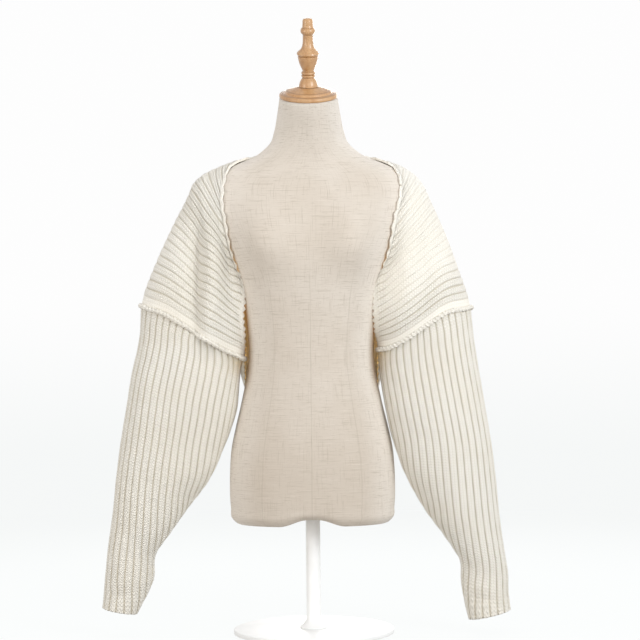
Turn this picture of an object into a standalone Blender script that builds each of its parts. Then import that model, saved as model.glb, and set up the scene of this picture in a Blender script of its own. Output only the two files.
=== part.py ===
"""Cropped knit shrug on a limbless dress form, in metres, +Z up, facing -Y.

The shrug is one wide rib-knit body panel, whose long edges frame the neck, fronts and
back hem, and two tapered rib-knit sleeves sewn to its short edges under a rolled seam.
The form is a covered torso with a turned wooden cap and finial, on a plain round stand.
The origin is on the surface that the stand rests on, under the form's middle.
"""

import math

import bmesh
import bpy
import numpy as np

MM = 0.001

# Cloth sizes, in millimetres
WALL = 2.6              # knit in a groove
RIB_RISE = 2.4          # how far a rib stands over its grooves
RIBS_PER_HALF = 28      # ribs of the body panel from centre back to a sleeve seam
NECK_RIB = 6.5          # the rib where the neck edge comes over the shoulder
BAND_RIBS = 1.5         # plain band beside the seam, in ribs
SLEEVE_PITCH = 12.4     # rib to rib round a sleeve
CLEARANCE = 3.8         # cloth to form where it rests
SOFT_CONTACT = 4.0      # how gradually the cloth lifts off the form
SEAM_GAP = 0.6
GRID_PER_RIB = 4        # fine grid that the panel's surface is read from
GRID_ROWS = 60
ROLL_RADIUS = 2.3
ROLL_SIDES = 6

# Rows of the panel's solid from the front edge to the hem, closer where it turns a shoulder or arm
PANEL_ROWS = np.array([
    0.0, 0.03, 0.06, 0.09, 0.12, 0.15, 0.185, 0.23, 0.28, 0.335, 0.39,
    0.44, 0.48, 0.52, 0.56, 0.61, 0.675, 0.76, 0.85, 0.925, 0.965, 1.0,
])

# Rings of a sleeve's solid, in rows of its table, closer where it narrows fast
SLEEVE_PLACES = np.array([
    0.0, 0.6, 1.4, 2.3, 3.2, 4.0, 4.5, 5.0, 5.4, 5.8, 6.2, 6.6, 7.0, 7.5, 8.1, 8.8, 9.6, 10.3, 11.0,
])

# Form and stand sizes, in millimetres
FORM_COLUMNS = 32
BUST = {"apart": 84.0, "height": 672.0, "rise": 24.0, "across": 44.0, "above": 60.0, "below": 44.0}
ARCH = {"rise": 12.0, "half_width": 50.0, "flat": 24.0, "reach": 30.0}
NECK_TILT_DEG = 19.0
NECK_TILT_FROM = 865.0
POLE_RADIUS = 12.5
BASE_RADIUS = 140.0
BASE_THICKNESS = 8.0
PIECE_GAP = 0.3
TURNED_SEGMENTS = 20

# Each section of the form: height, half width, depth in front, depth behind, middle in Y,
# and squareness (2 is an ellipse)
FORM_SECTIONS = np.array([
    # height  half   front  behind  middle  squareness
    [194.0, 133.0,  84.0,  97.0,   0.0, 2.40],
    [200.0, 139.5,  90.0, 104.0,   0.0, 2.40],
    [220.0, 142.8,  93.0, 110.0,   0.0, 2.40],
    [263.0, 144.4,  95.0, 113.0,   0.0, 2.38],
    [292.0, 143.5,  96.0, 111.0,   0.0, 2.34],
    [320.0, 141.2,  95.5, 107.0,   0.0, 2.30],
    [363.0, 132.4,  93.0,  98.0,   0.0, 2.26],
    [392.0, 125.3,  90.5,  91.0,   0.0, 2.24],
    [420.0, 119.1,  88.0,  85.0,   0.0, 2.22],
    [455.0, 111.5,  85.0,  79.0,   0.0, 2.20],
    [489.0, 108.7,  83.0,  75.0,   0.0, 2.20],
    [535.0, 112.2,  84.0,  76.0,   0.0, 2.20],
    [575.0, 118.0,  88.0,  80.0,   0.0, 2.22],
    [600.0, 122.5,  91.0,  83.0,   0.0, 2.25],
    [640.0, 136.0,  95.0,  90.0,   0.0, 2.30],
    [680.0, 156.0,  94.0,  95.0,   0.0, 2.30],
    [725.0, 178.0,  84.0,  98.0,   0.0, 2.28],
    [755.0, 186.0,  73.0,  96.0,   0.0, 2.25],
    [778.0, 186.0,  63.0,  91.0,   0.0, 2.20],
    [795.0, 177.0,  56.0,  84.0,   1.0, 2.10],
    [808.0, 158.0,  51.0,  77.0,   2.0, 2.00],
    [820.0, 127.0,  47.0,  70.0,   2.0, 1.95],
    [831.0,  99.0,  45.0,  63.0,   1.0, 1.95],
    [843.0,  81.0,  46.0,  58.0,   0.0, 1.95],
    [855.0,  68.7,  47.0,  54.0,  -2.0, 2.00],
    [875.0,  61.0,  49.0,  52.0,  -6.0, 2.00],
    [905.0,  55.0,  51.0,  51.0, -13.0, 2.00],
    [933.7,  50.5,  50.5,  50.5, -20.0, 2.00],
])

# In the tables below x is counted away from the body, and "right" and "left" are the wearer's.

# Where the inner face of the body panel turns over the shoulder and runs down the arm's
# outside. Up to the neck rib it is the neck edge behind the neck.
RIDGE = {
    "right": np.array([
        # rib    x      y      z
        [0.0,    0.0,  72.0, 817.0],
        [2.5,   42.0,  68.0, 819.0],
        [4.5,   75.0,  50.0, 824.0],
        [6.5,  100.0,  18.0, 829.0],
        [8.5,  124.0,   6.0, 823.5],
        [10.0, 147.0,   4.0, 814.8],
        [11.5, 170.0,   2.0, 804.9],
        [12.5, 186.0,   1.0, 796.6],
        [13.5, 195.7,   0.0, 786.9],
        [15.0, 205.7,   0.0, 768.9],
        [19.0, 234.7,   0.0, 712.9],
        [23.0, 264.2,   0.0, 650.5],
        [26.5, 286.5,   0.0, 594.5],
        [28.0, 292.5,   0.0, 571.5],
    ]),
    "left": np.array([
        [0.0,    0.0,  72.0, 817.0],
        [2.5,   42.0,  68.0, 819.0],
        [4.5,   77.0,  50.0, 823.0],
        [6.5,  105.0,  18.0, 826.0],
        [8.5,  134.0,   6.0, 818.0],
        [10.0, 158.0,   4.0, 808.0],
        [11.5, 180.0,   2.0, 795.5],
        [12.5, 191.0,   1.0, 783.5],
        [13.5, 199.0,   0.0, 769.0],
        [15.0, 207.8,   0.0, 749.4],
        [19.0, 231.7,   0.0, 695.4],
        [23.0, 253.8,   0.0, 633.8],
        [26.5, 271.0,   0.0, 583.0],
        [28.0, 275.5,   0.0, 563.0],
    ]),
}

# The front edge, from the shoulder crossing down to the underarm
FRONT_EDGE = {
    "right": np.array([
        # rib    x      y      z
        [6.5,  100.0,  18.0, 829.0],
        [7.5,  119.0,  -2.0, 821.5],
        [8.5,  135.0, -18.0, 811.0],
        [9.5,  145.0, -36.0, 790.0],
        [10.5, 149.0, -47.0, 768.0],
        [11.5, 149.5, -54.0, 742.4],
        [12.5, 145.6, -58.0, 720.0],
        [14.5, 137.6, -60.0, 670.0],
        [16.5, 127.5, -56.0, 628.5],
        [18.5, 122.5, -50.0, 598.5],
        [20.5, 121.5, -42.0, 572.5],
        [22.5, 120.5, -33.0, 548.0],
        [24.5, 119.0, -23.0, 521.0],
        [26.5, 120.0, -12.0, 497.0],
        [28.0, 121.0,  -3.0, 482.0],
    ]),
    "left": np.array([
        [6.5,  105.0,  18.0, 826.0],
        [7.5,  127.0,  -2.0, 819.0],
        [8.5,  146.0, -18.0, 808.0],
        [9.5,  155.5, -36.0, 790.0],
        [10.5, 156.5, -47.0, 768.5],
        [11.5, 152.0, -54.0, 742.8],
        [12.5, 145.4, -58.0, 720.4],
        [14.5, 135.0, -60.0, 670.5],
        [16.5, 124.2, -56.0, 629.0],
        [18.5, 112.5, -52.0, 599.5],
        [20.5, 111.0, -45.0, 573.5],
        [22.5, 112.0, -35.0, 549.0],
        [24.5, 115.0, -24.0, 527.0],
        [26.5, 119.5, -12.0, 509.0],
        [28.0, 121.5,  -3.0, 495.0],
    ]),
}

# How far the front swells between its edge and the ridge, and how far the cloth turns on the way
FRONT_SWELL = np.array([
    # rib  swell  turn
    [6.5,   0.0,  60.0],
    [8.5,   2.0,  65.0],
    [10.5,  6.0,  80.0],
    [12.5, 16.0,  90.0],
    [14.5, 26.0, 100.0],
    [18.0, 36.0, 120.0],
    [22.0, 42.0, 140.0],
    [26.0, 48.0, 170.0],
    [28.0, 50.0, 180.0],
])

# The back hem, from centre back to the underarm, with the same two measures behind
BACK_HEM = np.array([
    # rib    x      y      z     swell  turn
    [0.0,    0.0, 121.0, 345.0,   8.0,  60.0],
    [4.0,   42.0, 121.0, 347.0,  12.0,  70.0],
    [8.0,   80.0, 116.0, 360.0,  28.0,  90.0],
    [12.0, 104.0, 105.0, 390.0,  40.0, 105.0],
    [16.0, 117.0,  88.0, 434.0,  47.0, 120.0],
    [20.0, 117.0,  66.0, 481.0,  50.0, 140.0],
    [24.0, 116.0,  37.0, 506.0,  50.0, 160.0],
    [26.5, 119.5,  14.0, 501.0,  50.0, 172.0],
    [28.0, 121.0,   3.0, 488.0,  50.0, 180.0],
])
UNDERARM = {"right": (121.0, 482.0), "left": (121.5, 495.0)}

# How far the seam's front runs above its chord (outer half) and below it (inner half)
SEAM_WAVE = {"right": (8.0, 1.5), "left": (11.0, 5.0)}

# Each ring of a sleeve's outside, from the seam to the cuff: outermost and innermost
# points seen from the front, half its depth, and its middle in Y
SLEEVE_TABLE = {
    "right": np.array([
        # outer x  outer z  inner x  inner z  half deep  middle
        [297.0, 574.0, 116.5, 479.7, 55.0,   0.0],
        [298.6, 530.4, 122.8, 458.2, 57.0,  -4.0],
        [303.7, 496.8, 125.5, 425.1, 58.0,  -9.0],
        [313.7, 453.3, 131.0, 383.2, 57.0, -15.0],
        [322.1, 401.1, 149.0, 332.8, 55.0, -18.0],
        [332.6, 338.9, 177.1, 270.2, 51.0, -20.0],
        [340.8, 279.2, 214.3, 221.7, 47.0, -21.0],
        [347.5, 218.2, 246.2, 178.4, 43.0, -21.0],
        [356.9, 153.8, 272.7, 140.2, 38.0, -21.0],
        [363.0,  96.3, 275.7, 103.6, 36.0, -21.0],
        [365.2,  71.9, 284.2,  80.1, 34.0, -20.0],
        [368.0,  50.1, 305.2,  39.3, 31.0, -19.0],
    ]),
    "left": np.array([
        [280.0, 565.0, 117.0, 493.0, 55.0,   0.0],
        [284.3, 517.0, 117.5, 466.3, 56.0,  -6.0],
        [291.6, 461.1, 121.0, 431.3, 57.0, -13.0],
        [300.6, 403.4, 128.0, 387.6, 57.0, -20.0],
        [311.2, 333.6, 138.5, 340.4, 56.0, -24.0],
        [318.4, 272.5, 158.0, 282.5, 52.0, -25.0],
        [324.7, 202.6, 190.8, 221.1, 48.0, -24.0],
        [332.1, 145.0, 226.9, 171.8, 43.0, -23.0],
        [338.5, 103.1, 253.6, 128.8, 39.0, -22.0],
        [339.0,  71.7, 255.8,  94.7, 37.0, -21.0],
        [341.1,  54.2, 259.0,  65.0, 35.5, -20.0],
        [343.3,  40.8, 268.0,  23.3, 33.5, -19.0],
    ]),
}

# Soft folds of the sleeves: where along the rings, how far round from the outer line
# (front is positive), run along, spread round, slant, and depth (negative is a ridge)
SLEEVE_FOLDS = {
    "right": [
        # ring   round   run  spread  slant  depth
        (0.9,   128.0,  0.8,  18.0,   8.0,  4.0),
        (0.9,   164.0,  0.8,  17.0,   8.0, -2.0),
        (5.6,   150.0,  0.5,  34.0, -30.0,  5.0),
        (4.4,   120.0,  0.6,  40.0, -40.0,  3.0),
        (7.6,    60.0,  0.6,  30.0,  20.0,  3.0),
        (1.0,  -120.0,  0.8,  19.0,  -6.0,  4.0),
        (5.2,  -130.0,  0.6,  36.0,  30.0,  4.5),
        (9.9,    40.0,  0.5,  16.0,   0.0,  2.5),
        (9.9,   -42.0,  0.5,  16.0,   0.0,  2.5),
    ],
    "left": [
        (0.9,   112.0,  0.8,  18.0,   6.0,  3.0),
        (0.9,   146.0,  0.8,  17.0,   6.0, -1.5),
        (5.8,   130.0,  0.5,  32.0, -24.0,  4.0),
        (8.2,    50.0,  0.6,  26.0,  16.0,  3.0),
        (1.0,  -110.0,  0.8,  19.0,  -8.0,  4.0),
        (4.8,  -120.0,  0.6,  36.0,  30.0,  4.5),
        (9.9,    62.0,  0.5,  16.0,   0.0,  3.0),
        (9.9,   -44.0,  0.5,  16.0,   0.0,  2.5),
    ],
}

# The soft vertical fold down each front: its line from top to foot, half width and depth
FRONT_FOLD = {
    "right": {"top": 735.0, "foot": 505.0, "x_top": 183.0, "x_foot": 196.0, "half_width": 15.0, "depth": 7.0},
    "left": {"top": 735.0, "foot": 520.0, "x_top": 176.0, "x_foot": 184.0, "half_width": 15.0, "depth": 4.5},
}

# Soft drapes of the back, deepest at the hem: rib, spread in ribs, depth and reach upward
BACK_DRAPES = [
    # rib  spread  depth  reach
    (3.2,   1.5,    6.0,   0.55),
    (8.4,   1.9,    9.0,   0.80),
    (13.2,  1.8,    8.0,   0.62),
    (18.2,  2.0,    7.0,   0.50),
    (22.8,  1.6,    4.0,   0.40),
]

# Turned profiles, radius then height over the neck's top, measured on the tilted axis
CAP_PROFILE = [
    (0.0, 0.3), (49.0, 0.3), (51.0, 2.0), (51.0, 5.0), (48.5, 7.5), (41.0, 9.0),
    (39.5, 11.8), (32.0, 14.6), (22.0, 17.4), (17.0, 19.0), (0.0, 19.0),
]
FINIAL_PROFILE = [
    (0.0, 19.3), (16.5, 19.3), (16.0, 23.0), (14.5, 28.5), (11.0, 34.0), (10.2, 35.5), (11.8, 37.0),
    (11.8, 39.0), (10.2, 40.5), (11.8, 42.0), (11.8, 44.3), (9.8, 46.2), (12.5, 52.8), (16.0, 62.2),
    (18.0, 71.7), (16.8, 73.1), (19.6, 76.4), (19.0, 79.2), (13.5, 84.0), (10.0, 90.5), (8.8, 108.4),
    (9.0, 110.3), (12.4, 114.0), (12.0, 119.8), (9.5, 122.6), (9.0, 134.0), (7.5, 137.2), (0.0, 138.2),
]


def row_at(table, key):
    """The table's columns at each key, on a smooth curve through its rows."""
    key = np.atleast_1d(np.asarray(key, float))
    knots = table[:, 0]
    values = table[:, 1:]
    chords = np.diff(values, axis=0) / np.diff(knots)[:, None]
    spans = np.diff(knots)[:, None]
    slopes = np.empty_like(values)
    slopes[1:-1] = (chords[:-1] * spans[1:] + chords[1:] * spans[:-1]) / (spans[1:] + spans[:-1])
    slopes[0] = chords[0]
    slopes[-1] = chords[-1]
    key = np.clip(key, knots[0], knots[-1])
    i = np.clip(np.searchsorted(knots, key, side="right") - 1, 0, len(knots) - 2)
    span = spans[i]
    t = (key[:, None] - knots[i][:, None]) / span
    return ((2 * t**3 - 3 * t**2 + 1) * values[i] + (t**3 - 2 * t**2 + t) * span * slopes[i]
            + (3 * t**2 - 2 * t**3) * values[i + 1] + (t**3 - t**2) * span * slopes[i + 1])


def smooth_step(t):
    t = np.clip(t, 0.0, 1.0)
    return t * t * (3 - 2 * t)


# The form


def bust_rise(x, z):
    """How far the bust stands out of the plain section."""
    away = (np.abs(x) - BUST["apart"]) / BUST["across"]
    up = z - BUST["height"]
    tall = np.where(up > 0, BUST["above"], BUST["below"])
    return BUST["rise"] * np.exp(-away**2 - (up / tall) ** 2)


def form_field(points):
    """Under 1 inside the form, 1 on its surface and more outside."""
    x, y, z = points.T
    half, front, behind, middle, square = row_at(FORM_SECTIONS, z).T
    back = y > middle
    depth = np.where(back, behind, front)
    offset = np.where(back, y - middle, np.minimum(y - middle + bust_rise(x, z), 0.0))
    inside = (np.abs(x) / half) ** square + (np.abs(offset) / depth) ** square
    return inside ** (1 / square)


def lift_off_form(points, clearance):
    """Moves points that lie in the form, or nearer to it than the clearance, out along its normal."""
    step = 0.5
    for turn in range(6):
        field = form_field(points)
        slope = np.stack([
            (form_field(points + step * axis) - form_field(points - step * axis)) / (2 * step)
            for axis in np.eye(3)
        ], axis=1)
        steep = np.maximum(np.linalg.norm(slope, axis=1), 1e-4)
        away = (field - 1) / steep
        wanted = 0.5 * (away + clearance + np.sqrt((away - clearance) ** 2 + SOFT_CONTACT**2))
        near = away < 25.0
        target = wanted if turn == 0 else np.maximum(target, clearance)
        move = np.where(near, np.clip(target - away, -8.0, 8.0), 0.0)
        points = points + (move / steep)[:, None] * slope
    return points


def neck_tilt(x, y, z):
    """Height after the neck's top is tilted forward."""
    share = smooth_step((z - NECK_TILT_FROM) / (FORM_SECTIONS[-1, 0] - NECK_TILT_FROM))
    middle = row_at(FORM_SECTIONS, z)[:, 3]
    return z + share * math.tan(math.radians(NECK_TILT_DEG)) * (y - middle)


def under_arch(x):
    """How far the form's underside rises between the legs."""
    near = np.clip((np.abs(x) - ARCH["flat"]) / (ARCH["half_width"] - ARCH["flat"]), 0.0, 1.0)
    return ARCH["rise"] * 0.5 * (1 + np.cos(math.pi * near))


def form_ring(height, shrink=1.0):
    half, front, behind, middle, square = row_at(FORM_SECTIONS, height)[0]
    turn = np.linspace(0, 2 * math.pi, FORM_COLUMNS, endpoint=False)
    c, s = np.cos(turn), np.sin(turn)
    x = shrink * half * np.sign(c) * np.abs(c) ** (2 / square)
    depth = np.where(s > 0, behind, front)
    y = shrink * depth * np.sign(s) * np.abs(s) ** (2 / square)
    z = np.full_like(x, height)
    y = np.where(s < 0, y - bust_rise(x, z) * np.abs(s), y) + middle
    return np.stack([x, y, neck_tilt(x, y, z)], axis=1)


# Mesh building


def make_object(name, points, faces, material, location=(0, 0, 0), tilt=0.0):
    """A closed mesh object from points in millimetres."""
    mesh = bpy.data.meshes.new(name)
    mesh.from_pydata([tuple(float(v) for v in p) for p in np.asarray(points) * MM], [], faces)
    shape = bmesh.new()
    shape.from_mesh(mesh)
    bmesh.ops.recalc_face_normals(shape, faces=shape.faces)
    shape.to_mesh(mesh)
    shape.free()
    obj = bpy.data.objects.new(name, mesh)
    obj.location = [v * MM for v in location]
    obj.rotation_euler = (tilt, 0, 0)
    obj.data.materials.append(material)
    bpy.context.scene.collection.objects.link(obj)
    return obj


def material(name, colour, roughness, metallic=0.0):
    made = bpy.data.materials.new(name)
    made.use_nodes = True
    shader = made.node_tree.nodes["Principled BSDF"]
    shader.inputs["Base Color"].default_value = (*colour, 1)
    shader.inputs["Roughness"].default_value = roughness
    shader.inputs["Metallic"].default_value = metallic
    return made


def unique_face(*corners):
    """The face's corners without repeats, or nothing when it has closed up."""
    kept = [c for k, c in enumerate(corners) if c != corners[k - 1]]
    return [kept] if len(set(kept)) > 2 else []


def zip_edges(first, first_at, second, second_at):
    """Triangles between two runs of points, each with its place from start to end, nearest to nearest."""
    faces = []
    i = j = 0
    while i < len(first) - 1 or j < len(second) - 1:
        next_first = first_at[i + 1] if i < len(first) - 1 else math.inf
        next_second = 0.5 * (second_at[j] + second_at[j + 1]) if j < len(second) - 1 else math.inf
        if next_first <= next_second:
            faces += unique_face(first[i], first[i + 1], second[j])
            i += 1
        else:
            faces += unique_face(first[i], second[j + 1], second[j])
            j += 1
    return faces


def grid_faces(index):
    """Quads over a grid of point numbers."""
    return [face
            for a, b in zip(index[:-1], index[1:])
            for c in range(len(a) - 1)
            for face in unique_face(a[c], a[c + 1], b[c + 1], b[c])]


def surface_normals(surface, first, second):
    """Unit normals of a surface of two parameters, by differences."""
    tiny = 1e-3
    along = surface(first + tiny, second) - surface(first - tiny, second)
    across = surface(first, second + tiny) - surface(first, second - tiny)
    normal = np.cross(along, across)
    return normal / np.maximum(np.linalg.norm(normal, axis=-1, keepdims=True), 1e-12)


# The body panel


def side_of(rib):
    return "left" if rib >= 0 else "right"


def seam_wave(side, w):
    """How far the front of the seam runs above its chord, from the outer line to the underarm."""
    above, below = SEAM_WAVE[side]
    return above * np.exp(-((w - 0.36) / 0.16) ** 2) - below * np.exp(-((w - 0.74) / 0.12) ** 2)


def panel_rib(rib, count=48):
    """Points of the panel's inner face along one rib, from the front edge to the back hem."""
    side = side_of(rib)
    sign = 1.0 if side == "left" else -1.0
    rib = abs(rib)
    ridge = row_at(RIDGE[side], rib)[0]
    edge = row_at(FRONT_EDGE[side], rib)[0]
    swell, turn = row_at(FRONT_SWELL, rib)[0]
    hem = row_at(BACK_HEM, rib)[0]
    under = np.array(UNDERARM[side]) - BACK_HEM[-1, [1, 3]]
    hem[[0, 2]] += under * smooth_step((rib - 8.0) / 20.0)
    over = float(smooth_step(rib / NECK_RIB))
    w = np.linspace(0, 1, count)

    def flank(end, swell, turn, forward, rounded):
        turn = math.radians(turn)
        share = rounded * (1 - np.cos(w * turn)) / (1 - math.cos(turn)) + (1 - rounded) * w
        points = ridge + share[:, None] * (end - ridge)
        points[:, 1] += forward * swell * np.sin(math.pi * w)
        return points

    front = flank(edge, swell, turn, -1.0, 1.0)
    back = flank(hem[:3], hem[3], hem[4], 1.0, over)

    fold = FRONT_FOLD[side]
    drop = (fold["top"] - front[:, 2]) / (fold["top"] - fold["foot"])
    line = fold["x_top"] + np.clip(drop, 0, 1) * (fold["x_foot"] - fold["x_top"])
    t = (front[:, 0] - line) / fold["half_width"]
    depth = fold["depth"] * smooth_step(drop * 2.2 + 0.2) * (1 - 0.4 * smooth_step((rib - 24.0) / 4.0))
    front[:, 1] += depth * t * np.exp(0.5 - 0.5 * t * t)
    front[:, 2] += seam_wave(side, w) * smooth_step((rib - 17.0) / 11.0)

    for centre, spread, deep, reach in BACK_DRAPES:
        near = math.exp(-((rib - centre) / spread) ** 2)
        back[:, 1] += deep * near * smooth_step((w - 1 + reach) / reach)

    points = np.concatenate([front[::-1], back[1:]])
    if rib < NECK_RIB:
        points = back
    points = lift_off_form(points, CLEARANCE)
    points[:, 0] *= sign
    return points


class Panel:
    """The body panel's inner face, with ribs counted from centre back and rows from 0 to 1."""

    def __init__(self):
        self.ribs = np.arange(-RIBS_PER_HALF * GRID_PER_RIB, RIBS_PER_HALF * GRID_PER_RIB + 1) / GRID_PER_RIB
        self.rows = np.linspace(0, 1, GRID_ROWS + 1)
        self.grid = np.stack([self.even_rows(panel_rib(rib)) for rib in self.ribs])

    def even_rows(self, points):
        """The rib's points spaced evenly along it."""
        lengths = np.concatenate([[0], np.cumsum(np.linalg.norm(np.diff(points, axis=0), axis=1))])
        at = self.rows * lengths[-1]
        return np.stack([np.interp(at, lengths, points[:, k]) for k in range(3)], axis=1)

    def surface(self, rib, row):
        """Places on the sheet, by straight interpolation in its fine grid."""
        rib, row = np.broadcast_arrays(np.asarray(rib, float), np.asarray(row, float))
        a = np.clip((rib - self.ribs[0]) * GRID_PER_RIB, 0, len(self.ribs) - 1.001)
        b = np.clip(row * GRID_ROWS, 0, GRID_ROWS - 0.001)
        i, j = a.astype(int), b.astype(int)
        u, v = (a - i)[..., None], (b - j)[..., None]
        g = self.grid
        return ((1 - u) * (1 - v) * g[i, j] + u * (1 - v) * g[i + 1, j]
                + (1 - u) * v * g[i, j + 1] + u * v * g[i + 1, j + 1])

    def normals(self, rib, row):
        """Outward normals, over a stretch of about half a rib."""
        rib, row = np.broadcast_arrays(np.asarray(rib, float), np.asarray(row, float))
        last = RIBS_PER_HALF
        across = (self.surface(np.clip(rib + 0.5, -last, last), row)
                  - self.surface(np.clip(rib - 0.5, -last, last), row))
        along = (self.surface(rib, np.clip(row + 0.02, 0, 1))
                 - self.surface(rib, np.clip(row - 0.02, 0, 1)))
        normal = np.cross(across, along)
        return normal / np.maximum(np.linalg.norm(normal, axis=-1, keepdims=True), 1e-9)


def panel_rise(rib):
    """How far the panel's outside stands over its grooves at this rib."""
    crest = 1 - np.abs(rib - np.round(rib)) * 2
    to_seam = RIBS_PER_HALF - np.abs(rib)
    band = np.where(to_seam < BAND_RIBS, 0.55 * smooth_step(to_seam / 0.5), crest)
    return RIB_RISE * band


def arm_direction(side):
    """Square to the seam's chord and down the arm."""
    ring = SLEEVE_TABLE[side][0]
    across, up = ring[0:2] - ring[2:4]
    along = np.array([up if side == "left" else -up, 0.0, -across])
    return along / np.linalg.norm(along)


def seam_line(panel, side, stand_off):
    """The panel's end at a sleeve seam, as a function of the row, straight between its rows."""
    rib = RIBS_PER_HALF if side == "left" else -RIBS_PER_HALF
    ends = panel.surface(rib, PANEL_ROWS)
    ring = np.concatenate([ends[-2:-1], ends, ends[1:2]])
    outward = np.cross(arm_direction(side), ring[2:] - ring[:-2]) * (1.0 if side == "left" else -1.0)
    ends = ends + outward / np.linalg.norm(outward, axis=1, keepdims=True) * stand_off
    return lambda row: np.stack([np.interp(row, PANEL_ROWS, ends[:, k]) for k in range(3)], axis=-1)


def build_body_panel(panel, knit):
    outer_ribs = np.arange(-RIBS_PER_HALF, RIBS_PER_HALF + 0.01, 0.5)
    inner_ribs = outer_ribs[::2]
    rows = PANEL_ROWS
    rib, row = np.meshgrid(outer_ribs, rows)
    outer = panel.surface(rib, row) + panel.normals(rib, row) * (WALL + panel_rise(rib))[..., None]
    outer[:, 0] = seam_line(panel, "right", WALL)(rows)
    outer[:, -1] = seam_line(panel, "left", WALL)(rows)
    rib, row = np.meshgrid(inner_ribs, rows)
    inner = panel.surface(rib, row)
    points = np.concatenate([outer.reshape(-1, 3), inner.reshape(-1, 3)])
    outside = np.arange(outer[..., 0].size).reshape(outer.shape[:2])
    inside = np.arange(inner[..., 0].size).reshape(inner.shape[:2]) + outside.size
    faces = grid_faces(outside) + grid_faces(inside)
    for k in (0, -1):
        faces += zip_edges(list(outside[k]), list(outer_ribs), list(inside[k]), list(inner_ribs))
        faces += zip_edges(list(outside[:, k]), list(rows), list(inside[:, k]), list(rows))
    return make_object("body_panel", points, faces, knit)


# The sleeves


class Sleeve:
    """One sleeve's inner face, by ring from the seam and by angle from the outer line towards the front."""

    def __init__(self, side):
        self.side = side
        self.sign = 1.0 if side == "left" else -1.0
        table = SLEEVE_TABLE[side]
        self.table = np.column_stack([np.arange(len(table)), table])

    def ring(self, place):
        """Middle, outward half axis and half depth of the inner face at each place."""
        row = row_at(self.table, np.ravel(place))
        outer, inner, deep, middle = row[:, 0:2], row[:, 2:4], row[:, 4], row[:, 5]
        span = outer - inner
        width = np.linalg.norm(span, axis=1, keepdims=True)
        half = span / width * (width / 2 - WALL - RIB_RISE)
        centre = (outer + inner) / 2
        return centre, half, deep - WALL - RIB_RISE, middle

    def half_round(self, place):
        """Length of cloth from the outer line to the underarm line, and its angles by length."""
        centre, half, deep, middle = self.ring(place)
        angle = np.linspace(0, math.pi, 181)
        wide = np.linalg.norm(half[0])
        x, y = wide * np.cos(angle), deep[0] * np.sin(angle)
        length = np.concatenate([[0], np.cumsum(np.hypot(np.diff(x), np.diff(y)))])
        return length, angle

    def surface(self, place, angle):
        place, angle = np.broadcast_arrays(np.asarray(place, float), np.asarray(angle, float))
        centre, half, deep, middle = self.ring(place)
        turn = np.ravel(angle)
        x = centre[:, 0] + half[:, 0] * np.cos(turn)
        z = centre[:, 1] + half[:, 1] * np.cos(turn)
        y = middle - deep * np.sin(turn)
        points = np.stack([x, y, z], axis=1)
        inward = np.stack([-half[:, 0] * np.cos(turn), deep * np.sin(turn), -half[:, 1] * np.cos(turn)], 1)
        inward /= np.linalg.norm(inward, axis=1, keepdims=True)
        round_mm = turn * (np.linalg.norm(half, axis=1) + deep) / 2
        points += inward * self.fold_depth(np.ravel(place), round_mm)[:, None]
        points[:, 0] *= self.sign
        return points.reshape(place.shape + (3,))

    def fold_depth(self, place, round_mm):
        total = np.zeros_like(place)
        for ring, at, run, spread, slant, depth in SLEEVE_FOLDS[self.side]:
            along = (place - ring) / run
            across = (round_mm - at - slant * (place - ring)) / spread
            total += depth * np.exp(-along**2 - across**2)
        return total

    def normals(self, place, angle):
        return surface_normals(self.surface, place, angle) * -self.sign


def sleeve_rise(columns_mm, half_length, place):
    """How far a sleeve's outside stands over its grooves."""
    crest = np.abs(columns_mm / SLEEVE_PITCH - np.round(columns_mm / SLEEVE_PITCH)) * 2
    at_underarm = smooth_step((half_length - np.abs(columns_mm)) / (0.6 * SLEEVE_PITCH))
    at_seam = 0.25 + 0.75 * smooth_step(place / 0.15)
    return RIB_RISE * crest * at_underarm * at_seam


def seam_start(panel, sleeve):
    """The sleeve's first ring, just clear of the panel's end: its place by share round, inside or out."""
    along = SEAM_GAP * arm_direction(sleeve.side)
    inner = seam_line(panel, sleeve.side, 0.0)
    outer = seam_line(panel, sleeve.side, WALL)

    def place(share, outside):
        line = outer if outside else inner
        share = np.asarray(share, float)
        ends = 0.5 * (line(0.0) + line(1.0))
        at_end = (np.abs(share) > 0.999)[..., None]
        return np.where(at_end, ends, line(0.5 - 0.5 * share)) + along

    return place


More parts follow.
